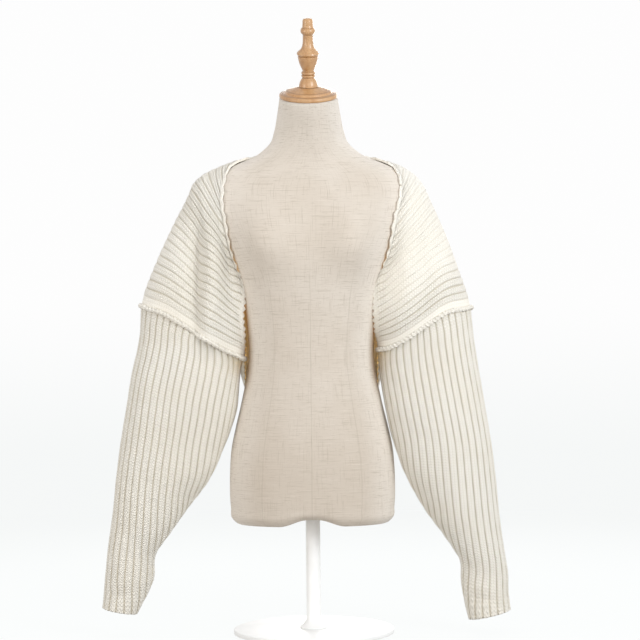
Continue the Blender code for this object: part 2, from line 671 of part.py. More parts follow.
def build_sleeve(panel, side, knit):
    sleeve = Sleeve(side)
    first = seam_start(panel, sleeve)
    places = SLEEVE_PLACES
    half_pitch = SLEEVE_PITCH / 2
    columns = math.ceil(sleeve.half_round(0.0)[0][-1] / half_pitch)
    points, outside, outer_shares = [], [], []
    for place in places:
        lengths, angles = sleeve.half_round(place)
        row, row_shares, seam_point = [], [], None
        for k in range(-columns, columns + 1):
            round_mm = k * half_pitch
            at_underarm = abs(round_mm) > lengths[-1] - 0.35 * half_pitch
            turn = math.copysign(np.interp(abs(round_mm), lengths, angles), k)
            share = round_mm / lengths[-1]
            if at_underarm:
                turn, share = math.copysign(math.pi, k), math.copysign(1.0, k)
            row_shares.append(share)
            if at_underarm and seam_point is not None:
                row.append(seam_point)
                continue
            if at_underarm:
                seam_point = len(points)
            row.append(len(points))
            rise = WALL + sleeve_rise(round_mm, lengths[-1], place) * (not at_underarm)
            if place == 0:
                points.append(first(share, True))
            else:
                points.append(sleeve.surface(place, turn) + sleeve.normals(place, turn) * rise)
        outside.append(row)
        outer_shares.append(row_shares)
    inside = []
    shares = 1 - 2 * PANEL_ROWS[::-1]
    for place in places:
        lengths, angles = sleeve.half_round(place)
        ring_turns = np.sign(shares) * np.interp(np.abs(shares) * lengths[-1], lengths, angles)
        start = len(points)
        if place == 0:
            points += list(first(shares[:-1], False))
        else:
            points += list(sleeve.surface(np.full(len(shares) - 1, place), ring_turns[:-1]))
        inside.append(list(range(start, start + len(shares) - 1)) + [start])
    faces = grid_faces(outside) + grid_faces(inside)
    for k in (0, -1):
        faces += zip_edges(outside[k], outer_shares[k], inside[k], list(shares))
    return make_object(f"sleeve_{side}", points, faces, knit)


def build_seam_roll(panel, side, knit):
    """The rolled seam that stands out where a sleeve joins the panel."""
    path = seam_line(panel, side, 0.0)(PANEL_ROWS)
    path[0] = 0.5 * (path[0] + path[-1])
    path = path[:-1]
    ahead = np.roll(path, -1, axis=0) - np.roll(path, 1, axis=0)
    outward = np.cross(arm_direction(side), ahead) * (1.0 if side == "left" else -1.0)
    outward /= np.linalg.norm(outward, axis=1, keepdims=True)
    sideways = np.cross(outward, ahead)
    sideways /= np.linalg.norm(sideways, axis=1, keepdims=True)
    path = path + outward * (WALL + 0.4 * RIB_RISE + PIECE_GAP + ROLL_RADIUS)
    around = np.linspace(0, 2 * math.pi, ROLL_SIDES, endpoint=False)
    points = [centre + ROLL_RADIUS * (math.cos(a) * out + 1.35 * math.sin(a) * across)
              for centre, out, across in zip(path, outward, sideways) for a in around]
    steps = len(path)
    faces = []
    for i in range(steps):
        for k in range(ROLL_SIDES):
            ahead_i, next_k = (i + 1) % steps, (k + 1) % ROLL_SIDES
            faces.append([i * ROLL_SIDES + k, i * ROLL_SIDES + next_k,
                          ahead_i * ROLL_SIDES + next_k, ahead_i * ROLL_SIDES + k])
    return make_object(f"seam_roll_{side}", points, faces, knit)


# The form's solid and its stand


def build_form_torso(cover):
    heights = list(FORM_SECTIONS[:, 0])
    rings = [form_ring(height) for height in heights]
    floor = [form_ring(heights[0], shrink) for shrink in (0.94, 0.6, 0.38, 0.17)]
    for k, ring in enumerate(floor):
        ring[:, 2] = heights[0] - 2.0
    rings = floor[::-1] + rings
    for ring in rings:
        near_floor = np.clip((heights[0] + ARCH["reach"] - ring[:, 2]) / ARCH["reach"], 0, 1)
        ring[:, 2] += under_arch(ring[:, 0]) * near_floor
    points = list(np.concatenate(rings))
    index = [list(range(k * FORM_COLUMNS, (k + 1) * FORM_COLUMNS)) + [k * FORM_COLUMNS]
             for k in range(len(rings))]
    faces = grid_faces(index)
    middle = len(points)
    points.append(np.array([0.0, 0.0, heights[0] - 2.0 + ARCH["rise"]]))
    faces += [[middle, a, b] for a, b in zip(index[0][:-1], index[0][1:])]
    faces.append(index[-1][:-1])
    return make_object("form_torso", points, faces, cover)


def turned_piece(name, profile, finish, location=(0, 0, 0), tilt=0.0, segments=TURNED_SEGMENTS):
    """A lathe-turned solid from radius and height pairs that start and end on the axis."""
    turns = np.linspace(0, 2 * math.pi, segments, endpoint=False)
    points, index = [], []
    for radius, height in profile:
        start = len(points)
        if radius == 0:
            points.append((0.0, 0.0, height))
            index.append([start] * (segments + 1))
            continue
        points += [(radius * math.cos(a), radius * math.sin(a), height) for a in turns]
        index.append(list(range(start, start + segments)) + [start])
    return make_object(name, points, grid_faces(index), finish, location, tilt)


def build_neck_and_finial(wood):
    top = FORM_SECTIONS[-1]
    seat = (0.0, top[4], top[0])
    tilt = math.radians(NECK_TILT_DEG)
    turned_piece("neck_cap", CAP_PROFILE, wood, seat, tilt, 24)
    turned_piece("finial", FINIAL_PROFILE, wood, seat, tilt, 12)


def build_stand(paint):
    underside = FORM_SECTIONS[0][0] - 2.0 + float(under_arch(np.array([POLE_RADIUS]))[0])
    top = underside - PIECE_GAP
    foot = BASE_THICKNESS + PIECE_GAP
    base = [(0.0, 0.0), (BASE_RADIUS - 1.0, 0.0), (BASE_RADIUS, 1.0), (BASE_RADIUS, BASE_THICKNESS - 2.5),
            (BASE_RADIUS - 2.5, BASE_THICKNESS), (0.0, BASE_THICKNESS)]
    pole = [(0.0, foot), (24.0, foot), (24.0, foot + 3.0), (16.0, foot + 12.0), (POLE_RADIUS, foot + 14.0),
            (POLE_RADIUS, top), (0.0, top)]
    turned_piece("stand_base", base, paint, segments=40)
    turned_piece("stand_pole", pole, paint)


def main():
    for obj in list(bpy.data.objects):
        bpy.data.objects.remove(obj)
    knit = material("cream rib knit", (0.80, 0.77, 0.69), 0.92)
    cover = material("linen form cover", (0.66, 0.59, 0.50), 0.9)
    wood = material("oiled beech", (0.62, 0.39, 0.19), 0.45)
    paint = material("pale painted steel", (0.82, 0.82, 0.80), 0.4)
    panel = Panel()
    build_body_panel(panel, knit)
    for side in ("right", "left"):
        build_sleeve(panel, side, knit)
        build_seam_roll(panel, side, knit)
    build_form_torso(cover)
    build_neck_and_finial(wood)
    build_stand(paint)


main()
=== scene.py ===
# %% [markdown]
# # A cream rib-knit shrug on a dress form
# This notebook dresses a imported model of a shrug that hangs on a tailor's form. The packed
# model gives true sizes and places, and every piece here is a finer form of one of its solids.
# All shapes are worked out in millimetres, with Z up and the garment facing -Y, and become
# metres only when a mesh is made.

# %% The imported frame
import math

import bpy
import numpy as np
from mathutils import Matrix, Vector


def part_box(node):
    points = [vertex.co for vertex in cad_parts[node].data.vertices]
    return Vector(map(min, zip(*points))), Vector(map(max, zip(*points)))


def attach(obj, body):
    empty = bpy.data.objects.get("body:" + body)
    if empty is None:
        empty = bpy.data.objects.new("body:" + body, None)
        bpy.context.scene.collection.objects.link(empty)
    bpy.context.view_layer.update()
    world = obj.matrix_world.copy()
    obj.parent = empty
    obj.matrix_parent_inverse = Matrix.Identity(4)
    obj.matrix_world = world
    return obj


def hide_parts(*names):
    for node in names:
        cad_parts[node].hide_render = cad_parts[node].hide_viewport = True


MM = 0.001
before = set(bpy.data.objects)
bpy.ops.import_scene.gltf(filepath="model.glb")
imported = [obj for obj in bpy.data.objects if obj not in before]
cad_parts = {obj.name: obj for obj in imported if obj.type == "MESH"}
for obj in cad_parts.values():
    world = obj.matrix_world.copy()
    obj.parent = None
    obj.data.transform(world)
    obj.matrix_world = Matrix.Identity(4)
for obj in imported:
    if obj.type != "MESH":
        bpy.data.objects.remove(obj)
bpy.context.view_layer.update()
print("packed nodes:", len(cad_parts))

# %% [markdown]
# ## The camera
# The camera stands well back with a long lens, level with the waist, so that both sleeves keep
# their real width in the picture. It leans by half a degree, as a tripod on a soft floor does.
# One pixel of a 640 pixel picture is then 1.75 mm at the form's middle. The Standard view keeps
# off-white cloth clean and bright, where a film-like view would turn it grey.

# %% Camera
CAMERA_BACK = 3400.0            # from the form's middle
CAMERA_AIM = (16.0, 546.0)      # x and height of the picture's middle
CAMERA_LEAN_DEG = -0.58
CAMERA_REACH_M = 30.0           # how far it sees
PICTURE_WIDE = 1120.0           # what the picture takes in at the form
SENSOR = 36.0


def add_camera():
    """Adds the camera and gives back the length of its lens."""
    camera = bpy.data.cameras.new("studio camera")
    camera.sensor_width = SENSOR
    camera.lens = SENSOR * CAMERA_BACK / PICTURE_WIDE
    camera.clip_end = CAMERA_REACH_M
    eye = bpy.data.objects.new("studio camera", camera)
    bpy.context.scene.collection.objects.link(eye)
    place = Matrix.Translation((CAMERA_AIM[0] * MM, -CAMERA_BACK * MM, CAMERA_AIM[1] * MM))
    level = Matrix.Rotation(math.radians(90), 4, "X")
    eye.matrix_world = place @ level @ Matrix.Rotation(math.radians(CAMERA_LEAN_DEG), 4, "Z")
    bpy.context.scene.camera = eye
    bpy.context.scene.view_settings.view_transform = "Standard"
    return round(camera.lens, 1)


print("camera lens in mm:", add_camera())

# %% [markdown]
# ## Smooth rows
# The garment is drawn from tables, as a dressmaker would: a few measured rows, and a smooth curve
# through them. Straight lines between the rows would show as kinks in the cloth, and a free
# spline would swing past them, so each row gets the slope of its two neighbours.

# %% Curves through a table


def row_at(table, key):
    """The table's columns at each key, on a smooth curve through its rows."""
    key = np.atleast_1d(np.asarray(key, float))
    knots = table[:, 0]
    values = table[:, 1:]
    spans = np.diff(knots)[:, None]
    chords = np.diff(values, axis=0) / spans
    slopes = np.empty_like(values)
    slopes[1:-1] = (chords[:-1] * spans[1:] + chords[1:] * spans[:-1]) / (spans[1:] + spans[:-1])
    slopes[0] = chords[0]
    slopes[-1] = chords[-1]
    key = np.clip(key, knots[0], knots[-1])
    i = np.clip(np.searchsorted(knots, key, side="right") - 1, 0, len(knots) - 2)
    span = spans[i]
    t = (key[:, None] - knots[i][:, None]) / span
    start = (2 * t**3 - 3 * t**2 + 1) * values[i] + (t**3 - 2 * t**2 + t) * span * slopes[i]
    end = (3 * t**2 - 2 * t**3) * values[i + 1] + (t**3 - t**2) * span * slopes[i + 1]
    return start + end


def smooth_step(t):
    """0 up to 0, 1 from 1 on, and an even S between."""
    t = np.clip(t, 0.0, 1.0)
    return t * t * (3 - 2 * t)


def bell(t):
    """1 at 0, a third at 1 and next to nothing at 2, either way."""
    return np.exp(-np.square(t))


def unit(vectors):
    """Vectors of length 1 with the same directions."""
    return vectors / np.maximum(np.linalg.norm(vectors, axis=-1, keepdims=True), 1e-9)


print("smooth steps at 0, 1/4, 1/2 and 1:", smooth_step(np.array([0.0, 0.25, 0.5, 1.0])))

# %% [markdown]
# ## The form under the cloth
# The form is a padded torso in sections, each a rounded box between an ellipse and a square.
# Its bust is a soft rise over the plain section. It could be sculpted, but a table of sections
# keeps its size exact, and the same function tells the cloth how near it is to the form, so that
# the two can touch without cutting into each other.

# %% The form's sections
BUST = {"apart": 84.0, "height": 672.0, "rise": 24.0, "across": 44.0, "above": 60.0, "below": 44.0}
ARCH = {"rise": 12.0, "half_width": 58.0, "flat": 8.0, "reach": 30.0}
NECK_TILT_DEG = 19.0
NECK_TILT_FROM = 865.0

FORM_SECTIONS = np.array([
    # height  half   front  behind  middle  squareness
    [194.0, 133.0,  84.0,  97.0,   0.0, 2.40],
    [200.0, 139.5,  90.0, 104.0,   0.0, 2.40],
    [220.0, 142.8,  93.0, 110.0,   0.0, 2.40],
    [263.0, 144.4,  95.0, 113.0,   0.0, 2.38],
    [292.0, 143.5,  96.0, 111.0,   0.0, 2.34],
    [320.0, 141.2,  95.5, 107.0,   0.0, 2.30],
    [363.0, 132.4,  93.0,  98.0,   0.0, 2.26],
    [392.0, 125.3,  90.5,  91.0,   0.0, 2.24],
    [420.0, 119.1,  88.0,  85.0,   0.0, 2.22],
    [455.0, 111.5,  85.0,  79.0,   0.0, 2.20],
    [489.0, 108.7,  83.0,  75.0,   0.0, 2.20],
    [535.0, 112.2,  84.0,  76.0,   0.0, 2.20],
    [575.0, 118.0,  88.0,  80.0,   0.0, 2.22],
    [600.0, 122.5,  91.0,  83.0,   0.0, 2.25],
    [640.0, 136.0,  95.0,  90.0,   0.0, 2.30],
    [680.0, 156.0,  94.0,  95.0,   0.0, 2.30],
    [725.0, 178.0,  84.0,  98.0,   0.0, 2.28],
    [755.0, 186.0,  73.0,  96.0,   0.0, 2.25],
    [778.0, 186.0,  63.0,  91.0,   0.0, 2.20],
    [795.0, 177.0,  56.0,  84.0,   1.0, 2.10],
    [808.0, 158.0,  51.0,  77.0,   2.0, 2.00],
    [820.0, 127.0,  47.0,  70.0,   2.0, 1.95],
    [831.0,  99.0,  45.0,  63.0,   1.0, 1.95],
    [843.0,  81.0,  46.0,  58.0,   0.0, 1.95],
    [855.0,  68.7,  47.0,  54.0,  -2.0, 2.00],
    [875.0,  61.0,  49.0,  52.0,  -6.0, 2.00],
    [905.0,  55.0,  51.0,  51.0, -13.0, 2.00],
    [933.7,  50.5,  50.5,  50.5, -20.0, 2.00],
])


def bust_rise(x, z):
    """How far the bust stands out of the plain section."""
    away = (np.abs(x) - BUST["apart"]) / BUST["across"]
    up = z - BUST["height"]
    tall = np.where(up > 0, BUST["above"], BUST["below"])
    return BUST["rise"] * bell(away) * bell(up / tall)


def form_field(points):
    """Under 1 inside the form, 1 on its surface and more outside."""
    x, y, z = points.T
    half, front, behind, middle, square = row_at(FORM_SECTIONS, z).T
    back = y > middle
    depth = np.where(back, behind, front)
    offset = np.where(back, y - middle, np.minimum(y - middle + bust_rise(x, z), 0.0))
    inside = (np.abs(x) / half) ** square + (np.abs(offset) / depth) ** square
    return inside ** (1 / square)


print("form sections:", len(FORM_SECTIONS), "from", FORM_SECTIONS[0, 0], "to", FORM_SECTIONS[-1, 0], "mm up")

# %% Keeping cloth off the form
CLEARANCE = 1.4         # cloth to form where it rests
SOFT_CONTACT = 1.2      # how gradually the cloth lifts off the form
LAID = 0.5              # cloth to form where an edge is laid flat on it
FEELER = 0.5            # a short step, for feeling which way is out
NEAR_FORM = 25.0        # cloth further off than this stays where it is
MOST_AT_ONCE = 8.0      # furthest move in one go
MOST_LAID = 12.0        # furthest that an edge is laid down in one go


def off_form(points):
    """About how far points are off the form, and the way out from it."""
    slope = np.stack([
        (form_field(points + FEELER * axis) - form_field(points - FEELER * axis)) / (2 * FEELER)
        for axis in np.eye(3)
    ], axis=1)
    steep = np.maximum(np.linalg.norm(slope, axis=1, keepdims=True), 1e-4)
    return (form_field(points) - 1) / steep[:, 0], slope / steep


def lift_off_form(points, clearance):
    """Moves points that lie in the form, or nearer to it than the clearance, out along its normal."""
    for go in range(6):
        away, out = off_form(points)
        wanted = 0.5 * (away + clearance + np.sqrt((away - clearance) ** 2 + SOFT_CONTACT**2))
        target = wanted if go == 0 else np.maximum(target, clearance)
        move = np.where(away < NEAR_FORM, np.clip(target - away, -MOST_AT_ONCE, MOST_AT_ONCE), 0.0)
        points = points + move[:, None] * out
    return points


def lay_on_form(points, share):
    """Brings points down onto the form by this share of the way."""
    for _ in range(3):
        away, out = off_form(points)
        points = points - (share * np.clip(away - LAID, 0.0, MOST_LAID))[:, None] * out
    return points


waist_off = off_form(np.array([[0.0, -120.0, 489.0]]))[0][0]
print("a pin 120 mm in front of the waist's middle is off the form by", round(float(waist_off), 1), "mm")

# %% [markdown]
# ## Meshes with their own measure
# Knitting has a direction: stitches stand in columns along a rib. A flat map over the cloth,
# with ribs across and millimetres along, lets the shader draw stitches that follow every fold.
# Each corner of a face carries its own map place, so a tube can close without a smear.

# %% Making a mesh


def sheet_faces(rows):
    """Quads over a grid of (vertex, map place) corners, without corners that have closed up."""
    faces = []
    for lower, upper in zip(rows[:-1], rows[1:]):
        for k in range(len(lower) - 1):
            corners = (lower[k], lower[k + 1], upper[k + 1], upper[k])
            kept = [c for n, c in enumerate(corners) if c[0] != corners[n - 1][0]]
            if len({c[0] for c in kept}) > 2:
                faces.append(kept)
    return faces


def corner_grid(start, shape, across, along):
    """Corners of a full grid whose vertices are numbered from start, row by row."""
    rows, columns = shape
    return [[(start + r * columns + c, (across[r, c], along[r, c])) for c in range(columns)]
            for r in range(rows)]


def ring_corners(start, count, across, along):
    """Corners round a ring of count vertices, the last of them at its first vertex again."""
    return [(start + k % count, place) for k, place in enumerate(zip(across, along))]


def make_piece(name, points, faces, finish, trim=None):
    """A smooth mesh object from points in millimetres and faces of (vertex, map place) corners."""
    mesh = bpy.data.meshes.new(name)
    mesh.from_pydata((np.asarray(points) * MM).tolist(), [], [[c[0] for c in face] for face in faces])
    places = np.array([c[1] for face in faces for c in face], np.float32)
    mesh.uv_layers.new(name="cloth").data.foreach_set("uv", places.ravel())
    if trim is not None:
        shares = np.array([trim[c[0]] for face in faces for c in face], np.float32)
        mesh.uv_layers.new(name="trim").data.foreach_set("uv", shares.ravel())
    mesh.shade_smooth()
    mesh.materials.append(finish)
    piece = bpy.data.objects.new(name, mesh)
    bpy.context.scene.collection.objects.link(piece)
    triangles = sum(len(face) - 2 for face in faces)
    print(f"{name}: {len(points)} points, {triangles} triangles")
    return piece


# %% [markdown]
# ## Shader sums in plain Python
# Node trees are hard to read as lists of links. One small class wraps a socket, so that
# `1 - mask * 0.3` adds the two Math nodes it needs, and any other node comes from one method
# that is given its settings and what goes into it. Finishes are then built as a painter works:
# a ground colour, and more colours laid over it, each by its own share.

# %% The shader helper
BLACK = (0.0, 0.0, 0.0, 1)


class Wire:
    """A socket in a material's node tree that can be used in sums."""

    def __init__(self, tree, socket=None):
        self.tree = tree
        self.socket = socket

    def node(self, kind, settings=None, out=0, **inputs):
        """An output of a new node, whose inputs are named, or numbered as i0, i1 and so on."""
        made = self.tree.nodes.new(kind)
        for key, value in (settings or {}).items():
            setattr(made, key, value)
        for key, value in inputs.items():
            self.feed(made.inputs[int(key[1:]) if key[1:].isdigit() else key], value)
        return Wire(self.tree, made.outputs[out])

    def feed(self, target, value):
        """Links a wire to the target socket, or sets a plain value there."""
        if isinstance(value, Wire):
            self.tree.links.new(value.socket, target)
        else:
            target.default_value = value

    def math(self, operation, other=0.0, swapped=False):
        """A sum of this wire with another wire or number, which may come first."""
        first, second = (other, self) if swapped else (self, other)
        return self.node("ShaderNodeMath", {"operation": operation}, i0=first, i1=second)

    def __add__(self, other):
        return self.math("ADD", other)

    def __mul__(self, other):
        return self.math("MULTIPLY", other)

    def __sub__(self, other):
        return self.math("SUBTRACT", other)

    def __rsub__(self, other):
        return self.math("SUBTRACT", other, swapped=True)

    def __truediv__(self, other):
        return self.math("DIVIDE", other)

    def __rtruediv__(self, other):
        return self.math("DIVIDE", other, swapped=True)

    def __pow__(self, power):
        return self.math("POWER", power)

    def __rpow__(self, base):
        return self.math("POWER", base, swapped=True)

    __radd__ = __add__
    __rmul__ = __mul__

    def fract(self):
        """What is left over whole numbers."""
        return self.math("FRACT")

    def size(self):
        """The value without its sign."""
        return self.math("ABSOLUTE")

    def sine(self):
        """The sine of this angle."""
        return self.math("SINE")

    def axis(self, name):
        """One coordinate of a place."""
        return self.node("ShaderNodeSeparateXYZ", out=name, Vector=self)

    def ramp(self, low, high):
        """0 at low, 1 at high and smooth between, whichever way round they are."""
        return self.node("ShaderNodeMapRange", {"interpolation_type": "SMOOTHSTEP"},
                         Value=self, i1=float(low), i2=float(high))

    def on_lines(self, lines, outer, inner):
        """1 on each of these values, and 0 from the outer distance off."""
        shares = [(self - at).size().ramp(outer, inner) for at in lines]
        nearest = shares[0]
        for share in shares[1:]:
            nearest = nearest.math("MAXIMUM", share)
        return nearest

    def blend(self, first, second):
        """A colour between two, by this share."""
        return self.node("ShaderNodeMix", {"data_type": "RGBA"}, out=2, i0=self, i6=first, i7=second)

    def noise(self, scale, detail=3.0, roughness=0.5):
        """Noise over this place."""
        return self.node("ShaderNodeTexNoise", Vector=self, Scale=scale, Detail=detail, Roughness=roughness)

    def streaks(self, scales, detail=3.0, roughness=0.5):
        """Noise that runs in streaks, with its own scale along each axis."""
        stretched = self.node("ShaderNodeVectorMath", {"operation": "MULTIPLY"}, i0=self, i1=scales)
        return stretched.noise(1.0, detail, roughness)


# %% Finishes in layers


def new_finish(name, constants):
    """A Principled material with these constants, its shader node and a wire over the object."""
    made = bpy.data.materials.new(name)
    made.use_nodes = True
    shader = made.node_tree.nodes["Principled BSDF"]
    for socket, value in constants.items():
        shader.inputs[socket].default_value = value
    return made, shader, Wire(made.node_tree).node("ShaderNodeTexCoord", out="Object")


def laid_over(colour, layers):
    """A colour with more colours laid over it, each by its own share."""
    for share, tone in layers:
        colour = share.blend(colour, tone)
    return colour


def finish_with(shader, colour, height=None, depth=0.0, roughness=None, glow=None):
    """Feeds the shader a colour, a bump of this depth in millimetres, a roughness and a glow."""
    bump = None
    if height is not None:
        bump = height.node("ShaderNodeBump", Height=height, Distance=depth * MM, Strength=1.0)
    fed = {"Base Color": colour, "Normal": bump, "Roughness": roughness, "Emission Color": glow}
    for socket, wire in fed.items():
        if wire is not None:
            wire.feed(shader.inputs[socket], wire)


# %% [markdown]
# ## The knit
# The yarn is a soft off-white wool mix. Each rib is two columns of plain stitches, and every
# stitch is two strands that lean together into a V. The strands are far too fine to model, so
# they are bump, drawn along the ribs. The grooves between ribs get a painted shade, darker and
# slightly olive, over the shadow of their relief. A second map, named trim, tells the shader how
# deep the grooves are at each corner, and how much painted warm shade and glow the cloth gets
# there, beside the form.

# %% Knit shader
STITCH_COLUMNS = 2      # columns of stitches on a rib
STITCH_TALL = 4.8       # one stitch along the rib, in millimetres
STITCH_STEEP = 1.25     # how steeply its two strands lean
FLAT_TONE = 0.7         # tone that stitches keep where the ribs are pulled flat
FLAT_RELIEF = 0.3       # and their relief there
KNIT_BUMP = 1.25        # depth of the bump in millimetres
YARN_LIGHT = (0.945, 0.912, 0.835, 1)
YARN_WARM = (0.920, 0.875, 0.780, 1)
YARN_SHADE = (0.76, 0.70, 0.590, 1)
YARN_FUZZ = (0.93, 0.91, 0.86, 1)
# painted shade for the grooves between ribs
YARN_GROOVE_SHADE = (0.56, 0.50, 0.385, 1)
YARN_PAINTED_GLOW_AND_SHADE = (0.62, 0.45, 0.20, 1)       # painted warm shade and glow on the cloth beside the form, standing in for light through it
YARN_GLINT = (1.35, 0.85, 0.30, 1)      # and painted glints between the stitches, given off by the knit itself


def knit_finish(name, groove_at, groove_shade, stitch_columns=STITCH_COLUMNS):
    """Knit whose map counts ribs across, with a groove at this share of each, and millimetres along."""
    made, shader, place = new_finish(
        name, {"Roughness": 0.92, "Sheen Weight": 0.25, "Emission Strength": 1.0})
    flat = place.node("ShaderNodeTexCoord", out="UV")
    rib, along = flat.axis("X"), flat.axis("Y")
    trim = place.node("ShaderNodeUVMap", {"uv_map": "trim"})
    deep, painted_glow_and_shade = trim.axis("X"), trim.axis("Y")
    lean = ((rib * stitch_columns).fract() - 0.5).size()
    strand = ((along / STITCH_TALL + lean * STITCH_STEEP) * (2 * math.pi)).sine() * 0.5 + 0.5
    strand = strand * (1 - (lean * 2) ** 3.0)
    cloud, fuzz, patch = place.noise(38.0), place.noise(900.0, 4.0, 0.7), place.noise(9.0, 2.0)
    worked = deep * (1 - FLAT_TONE) + FLAT_TONE
    valley = 0.5 - ((rib + groove_at).fract() - 0.5).size() + (cloud - 0.5) * 0.05
    colour = laid_over(patch.ramp(0.35, 0.65).blend(YARN_LIGHT, YARN_WARM), (
        (strand.ramp(0.62, 0.05) * worked * 0.38, YARN_SHADE),                  # between strands
        (lean.ramp(0.38, 0.5) * worked * 0.28, YARN_SHADE),                     # between columns
        (fuzz.ramp(0.45, 0.75) * 0.35, YARN_FUZZ),                              # loose fibres
        (valley.ramp(0.30, 0.04) * deep * groove_shade * 0.30, YARN_GROOVE_SHADE),     # painted shade on a rib's flanks
        (valley.ramp(0.12, 0.02) * deep * groove_shade, YARN_GROOVE_SHADE),            # painted shade in the groove
        # painted warm shade and glow beside the form
        (painted_glow_and_shade, YARN_PAINTED_GLOW_AND_SHADE),
    ))
    # painted glints between the stitches, given off by the knit itself
    glint = painted_glow_and_shade ** 3.0 * (place.noise(150.0).ramp(0.50, 0.62) + 0.2)
    height = strand * (deep * (1 - FLAT_RELIEF) + FLAT_RELIEF) + fuzz * 0.4 + cloud * 0.4
    finish_with(shader, colour, height, KNIT_BUMP, glow=glint.blend(BLACK, YARN_GLINT))
    return made


panel_knit = knit_finish("cream knit, body ribs", groove_at=0.5, groove_shade=0.75)
sleeve_knit = knit_finish("cream knit, sleeve ribs", groove_at=0.0, groove_shade=0.80)
seam_knit = knit_finish("cream knit, rolled seam", groove_at=0.5, groove_shade=0.0, stitch_columns=1)
print("knit finishes:", panel_knit.name, "/", sleeve_knit.name, "/", seam_knit.name)

# %% [markdown]
# ## The body panel's cut
# The body of a shrug is one wide piece, worn sideways: its ribs run from the front edge, over
# the shoulder, and down the back to the hem. One table gives the line where the cloth turns
# over the shoulder and arm, one the front edge, and one the back hem. The ribs are counted from
# centre back, and x is counted away from the middle on both sides. A cloth simulation could hang
# the piece too, but its folds would come out elsewhere each time, and here each one has its place.

# %% Panel tables
WALL = 2.6              # the cloth between its ribs
RIB_RISE = 2.4          # how far a rib stands out of it
RIBS_PER_HALF = 28
NECK_RIB = 6.5          # the ribs nearer to centre back start at the neck
BAND_RIBS = 1.5         # width of the plain band beside the sleeve seam
SIDE_SIGN = {"right": -1.0, "left": 1.0}

# The line where the cloth turns over: rib and y, then x and z on the right and on the left
RIDGE_ROWS = np.array([
    [0.0,  72.0,   0.0, 817.0,   0.0, 817.0],
    [2.5,  68.0,  42.0, 819.0,  42.0, 819.0],
    [4.5,  50.0,  75.0, 824.0,  77.0, 823.0],
    [6.5,  18.0, 100.0, 829.0, 105.0, 826.0],
    [8.5,   6.0, 124.0, 823.5, 134.0, 818.0],
    [10.0,  4.0, 147.0, 814.8, 158.0, 808.0],
    [11.5,  2.0, 170.0, 804.9, 180.0, 795.5],
    [12.5,  1.0, 186.0, 796.6, 191.0, 783.5],
    [13.5,  0.0, 195.7, 786.9, 199.0, 769.0],
    [15.0,  0.0, 205.7, 768.9, 207.8, 749.4],
    [19.0,  0.0, 234.7, 712.9, 231.7, 695.4],
    [23.0,  0.0, 264.2, 650.5, 253.8, 633.8],
    [26.5,  0.0, 286.5, 594.5, 271.0, 583.0],
    [28.0,  0.0, 292.5, 571.5, 275.5, 563.0],
])
RIDGE = {"right": RIDGE_ROWS[:, [0, 2, 1, 3]], "left": RIDGE_ROWS[:, [0, 4, 1, 5]]}

# The front edge: rib, then x, y and z on the right and on the left
EDGE_TABLE = np.array([
    [6.5,  100.0,  18.0, 829.0, 105.0,  18.0, 826.0],
    [7.5,  119.0,  -2.0, 821.5, 127.0,  -2.0, 819.0],
    [8.5,  135.0, -18.0, 811.0, 146.0, -18.0, 808.0],
    [9.5,  145.0, -36.0, 790.0, 155.5, -36.0, 790.0],
    [10.5, 149.0, -47.0, 768.0, 156.5, -47.0, 768.5],
    [11.5, 149.5, -54.0, 742.4, 152.0, -54.0, 742.8],
    [12.5, 145.6, -58.0, 720.0, 145.4, -58.0, 720.4],
    [14.5, 137.6, -54.0, 670.0, 135.0, -55.0, 670.5],
    [16.5, 127.5, -43.0, 628.5, 124.2, -44.0, 629.0],
    [18.5, 122.5, -37.0, 598.5, 112.5, -43.0, 599.5],
    [20.5, 121.5, -33.0, 572.5, 111.0, -38.0, 573.5],
    [22.5, 120.5, -28.0, 548.0, 112.0, -31.0, 549.0],
    [24.5, 119.0, -21.0, 521.0, 115.0, -22.0, 527.0],
    [26.5, 120.0, -12.0, 497.0, 119.5, -12.0, 509.0],
    [28.0, 121.0,  -3.0, 482.0, 121.5,  -3.0, 495.0],
])
FRONT_EDGE = {"right": EDGE_TABLE[:, :4], "left": EDGE_TABLE[:, [0, 4, 5, 6]]}

# How far the front swells between its edge and the ridge, and how far the cloth turns on the way
FRONT_SWELL = np.array([
    # rib  swell  turn
    [6.5,   0.0,  60.0],
    [8.5,   2.0,  65.0],
    [10.5,  6.0,  80.0],
    [12.5, 16.0,  90.0],
    [14.5, 26.0, 100.0],
    [18.0, 36.0, 120.0],
    [22.0, 42.0, 140.0],
    [26.0, 48.0, 170.0],
    [28.0, 50.0, 180.0],
])

BACK_HEM = np.array([
    # rib    x      y      z     swell  turn
    [0.0,    0.0, 121.0, 345.0,   8.0,  60.0],
    [4.0,   42.0, 121.0, 347.0,  12.0,  70.0],
    [8.0,   80.0, 116.0, 360.0,  28.0,  90.0],
    [12.0, 104.0, 105.0, 390.0,  40.0, 105.0],
    [16.0, 117.0,  88.0, 434.0,  47.0, 120.0],
    [20.0, 117.0,  66.0, 481.0,  50.0, 140.0],
    [24.0, 116.0,  37.0, 506.0,  50.0, 160.0],
    [26.5, 119.5,  14.0, 501.0,  50.0, 172.0],
    [28.0, 121.0,   3.0, 488.0,  50.0, 180.0],
])

# Where the front edge and the back hem meet the sleeve seam under the arm, as x and z
UNDERARM = {"right": (121.0, 482.0), "left": (121.5, 495.0)}

# How far the seam's front runs above its chord (outer half) and below it (inner half)
SEAM_WAVE = {"right": (8.0, 1.5), "left": (11.0, 5.0)}

# The soft vertical fold down each front: x and z of its top and foot, half width and depth
FRONT_FOLD = {
    "right": ((176.0, 735.0), (188.0, 505.0), 13.0, 11.5),
    "left": ((176.0, 735.0), (184.0, 520.0), 17.0, 2.5),
}

BACK_DRAPES = [
    # rib  spread  depth  reach
    (3.2,   1.5,    6.0,   0.55),
    (8.4,   1.9,    9.0,   0.80),
    (13.2,  1.8,    8.0,   0.62),
    (18.2,  2.0,    7.0,   0.50),
    (22.8,  1.6,    4.0,   0.40),
]

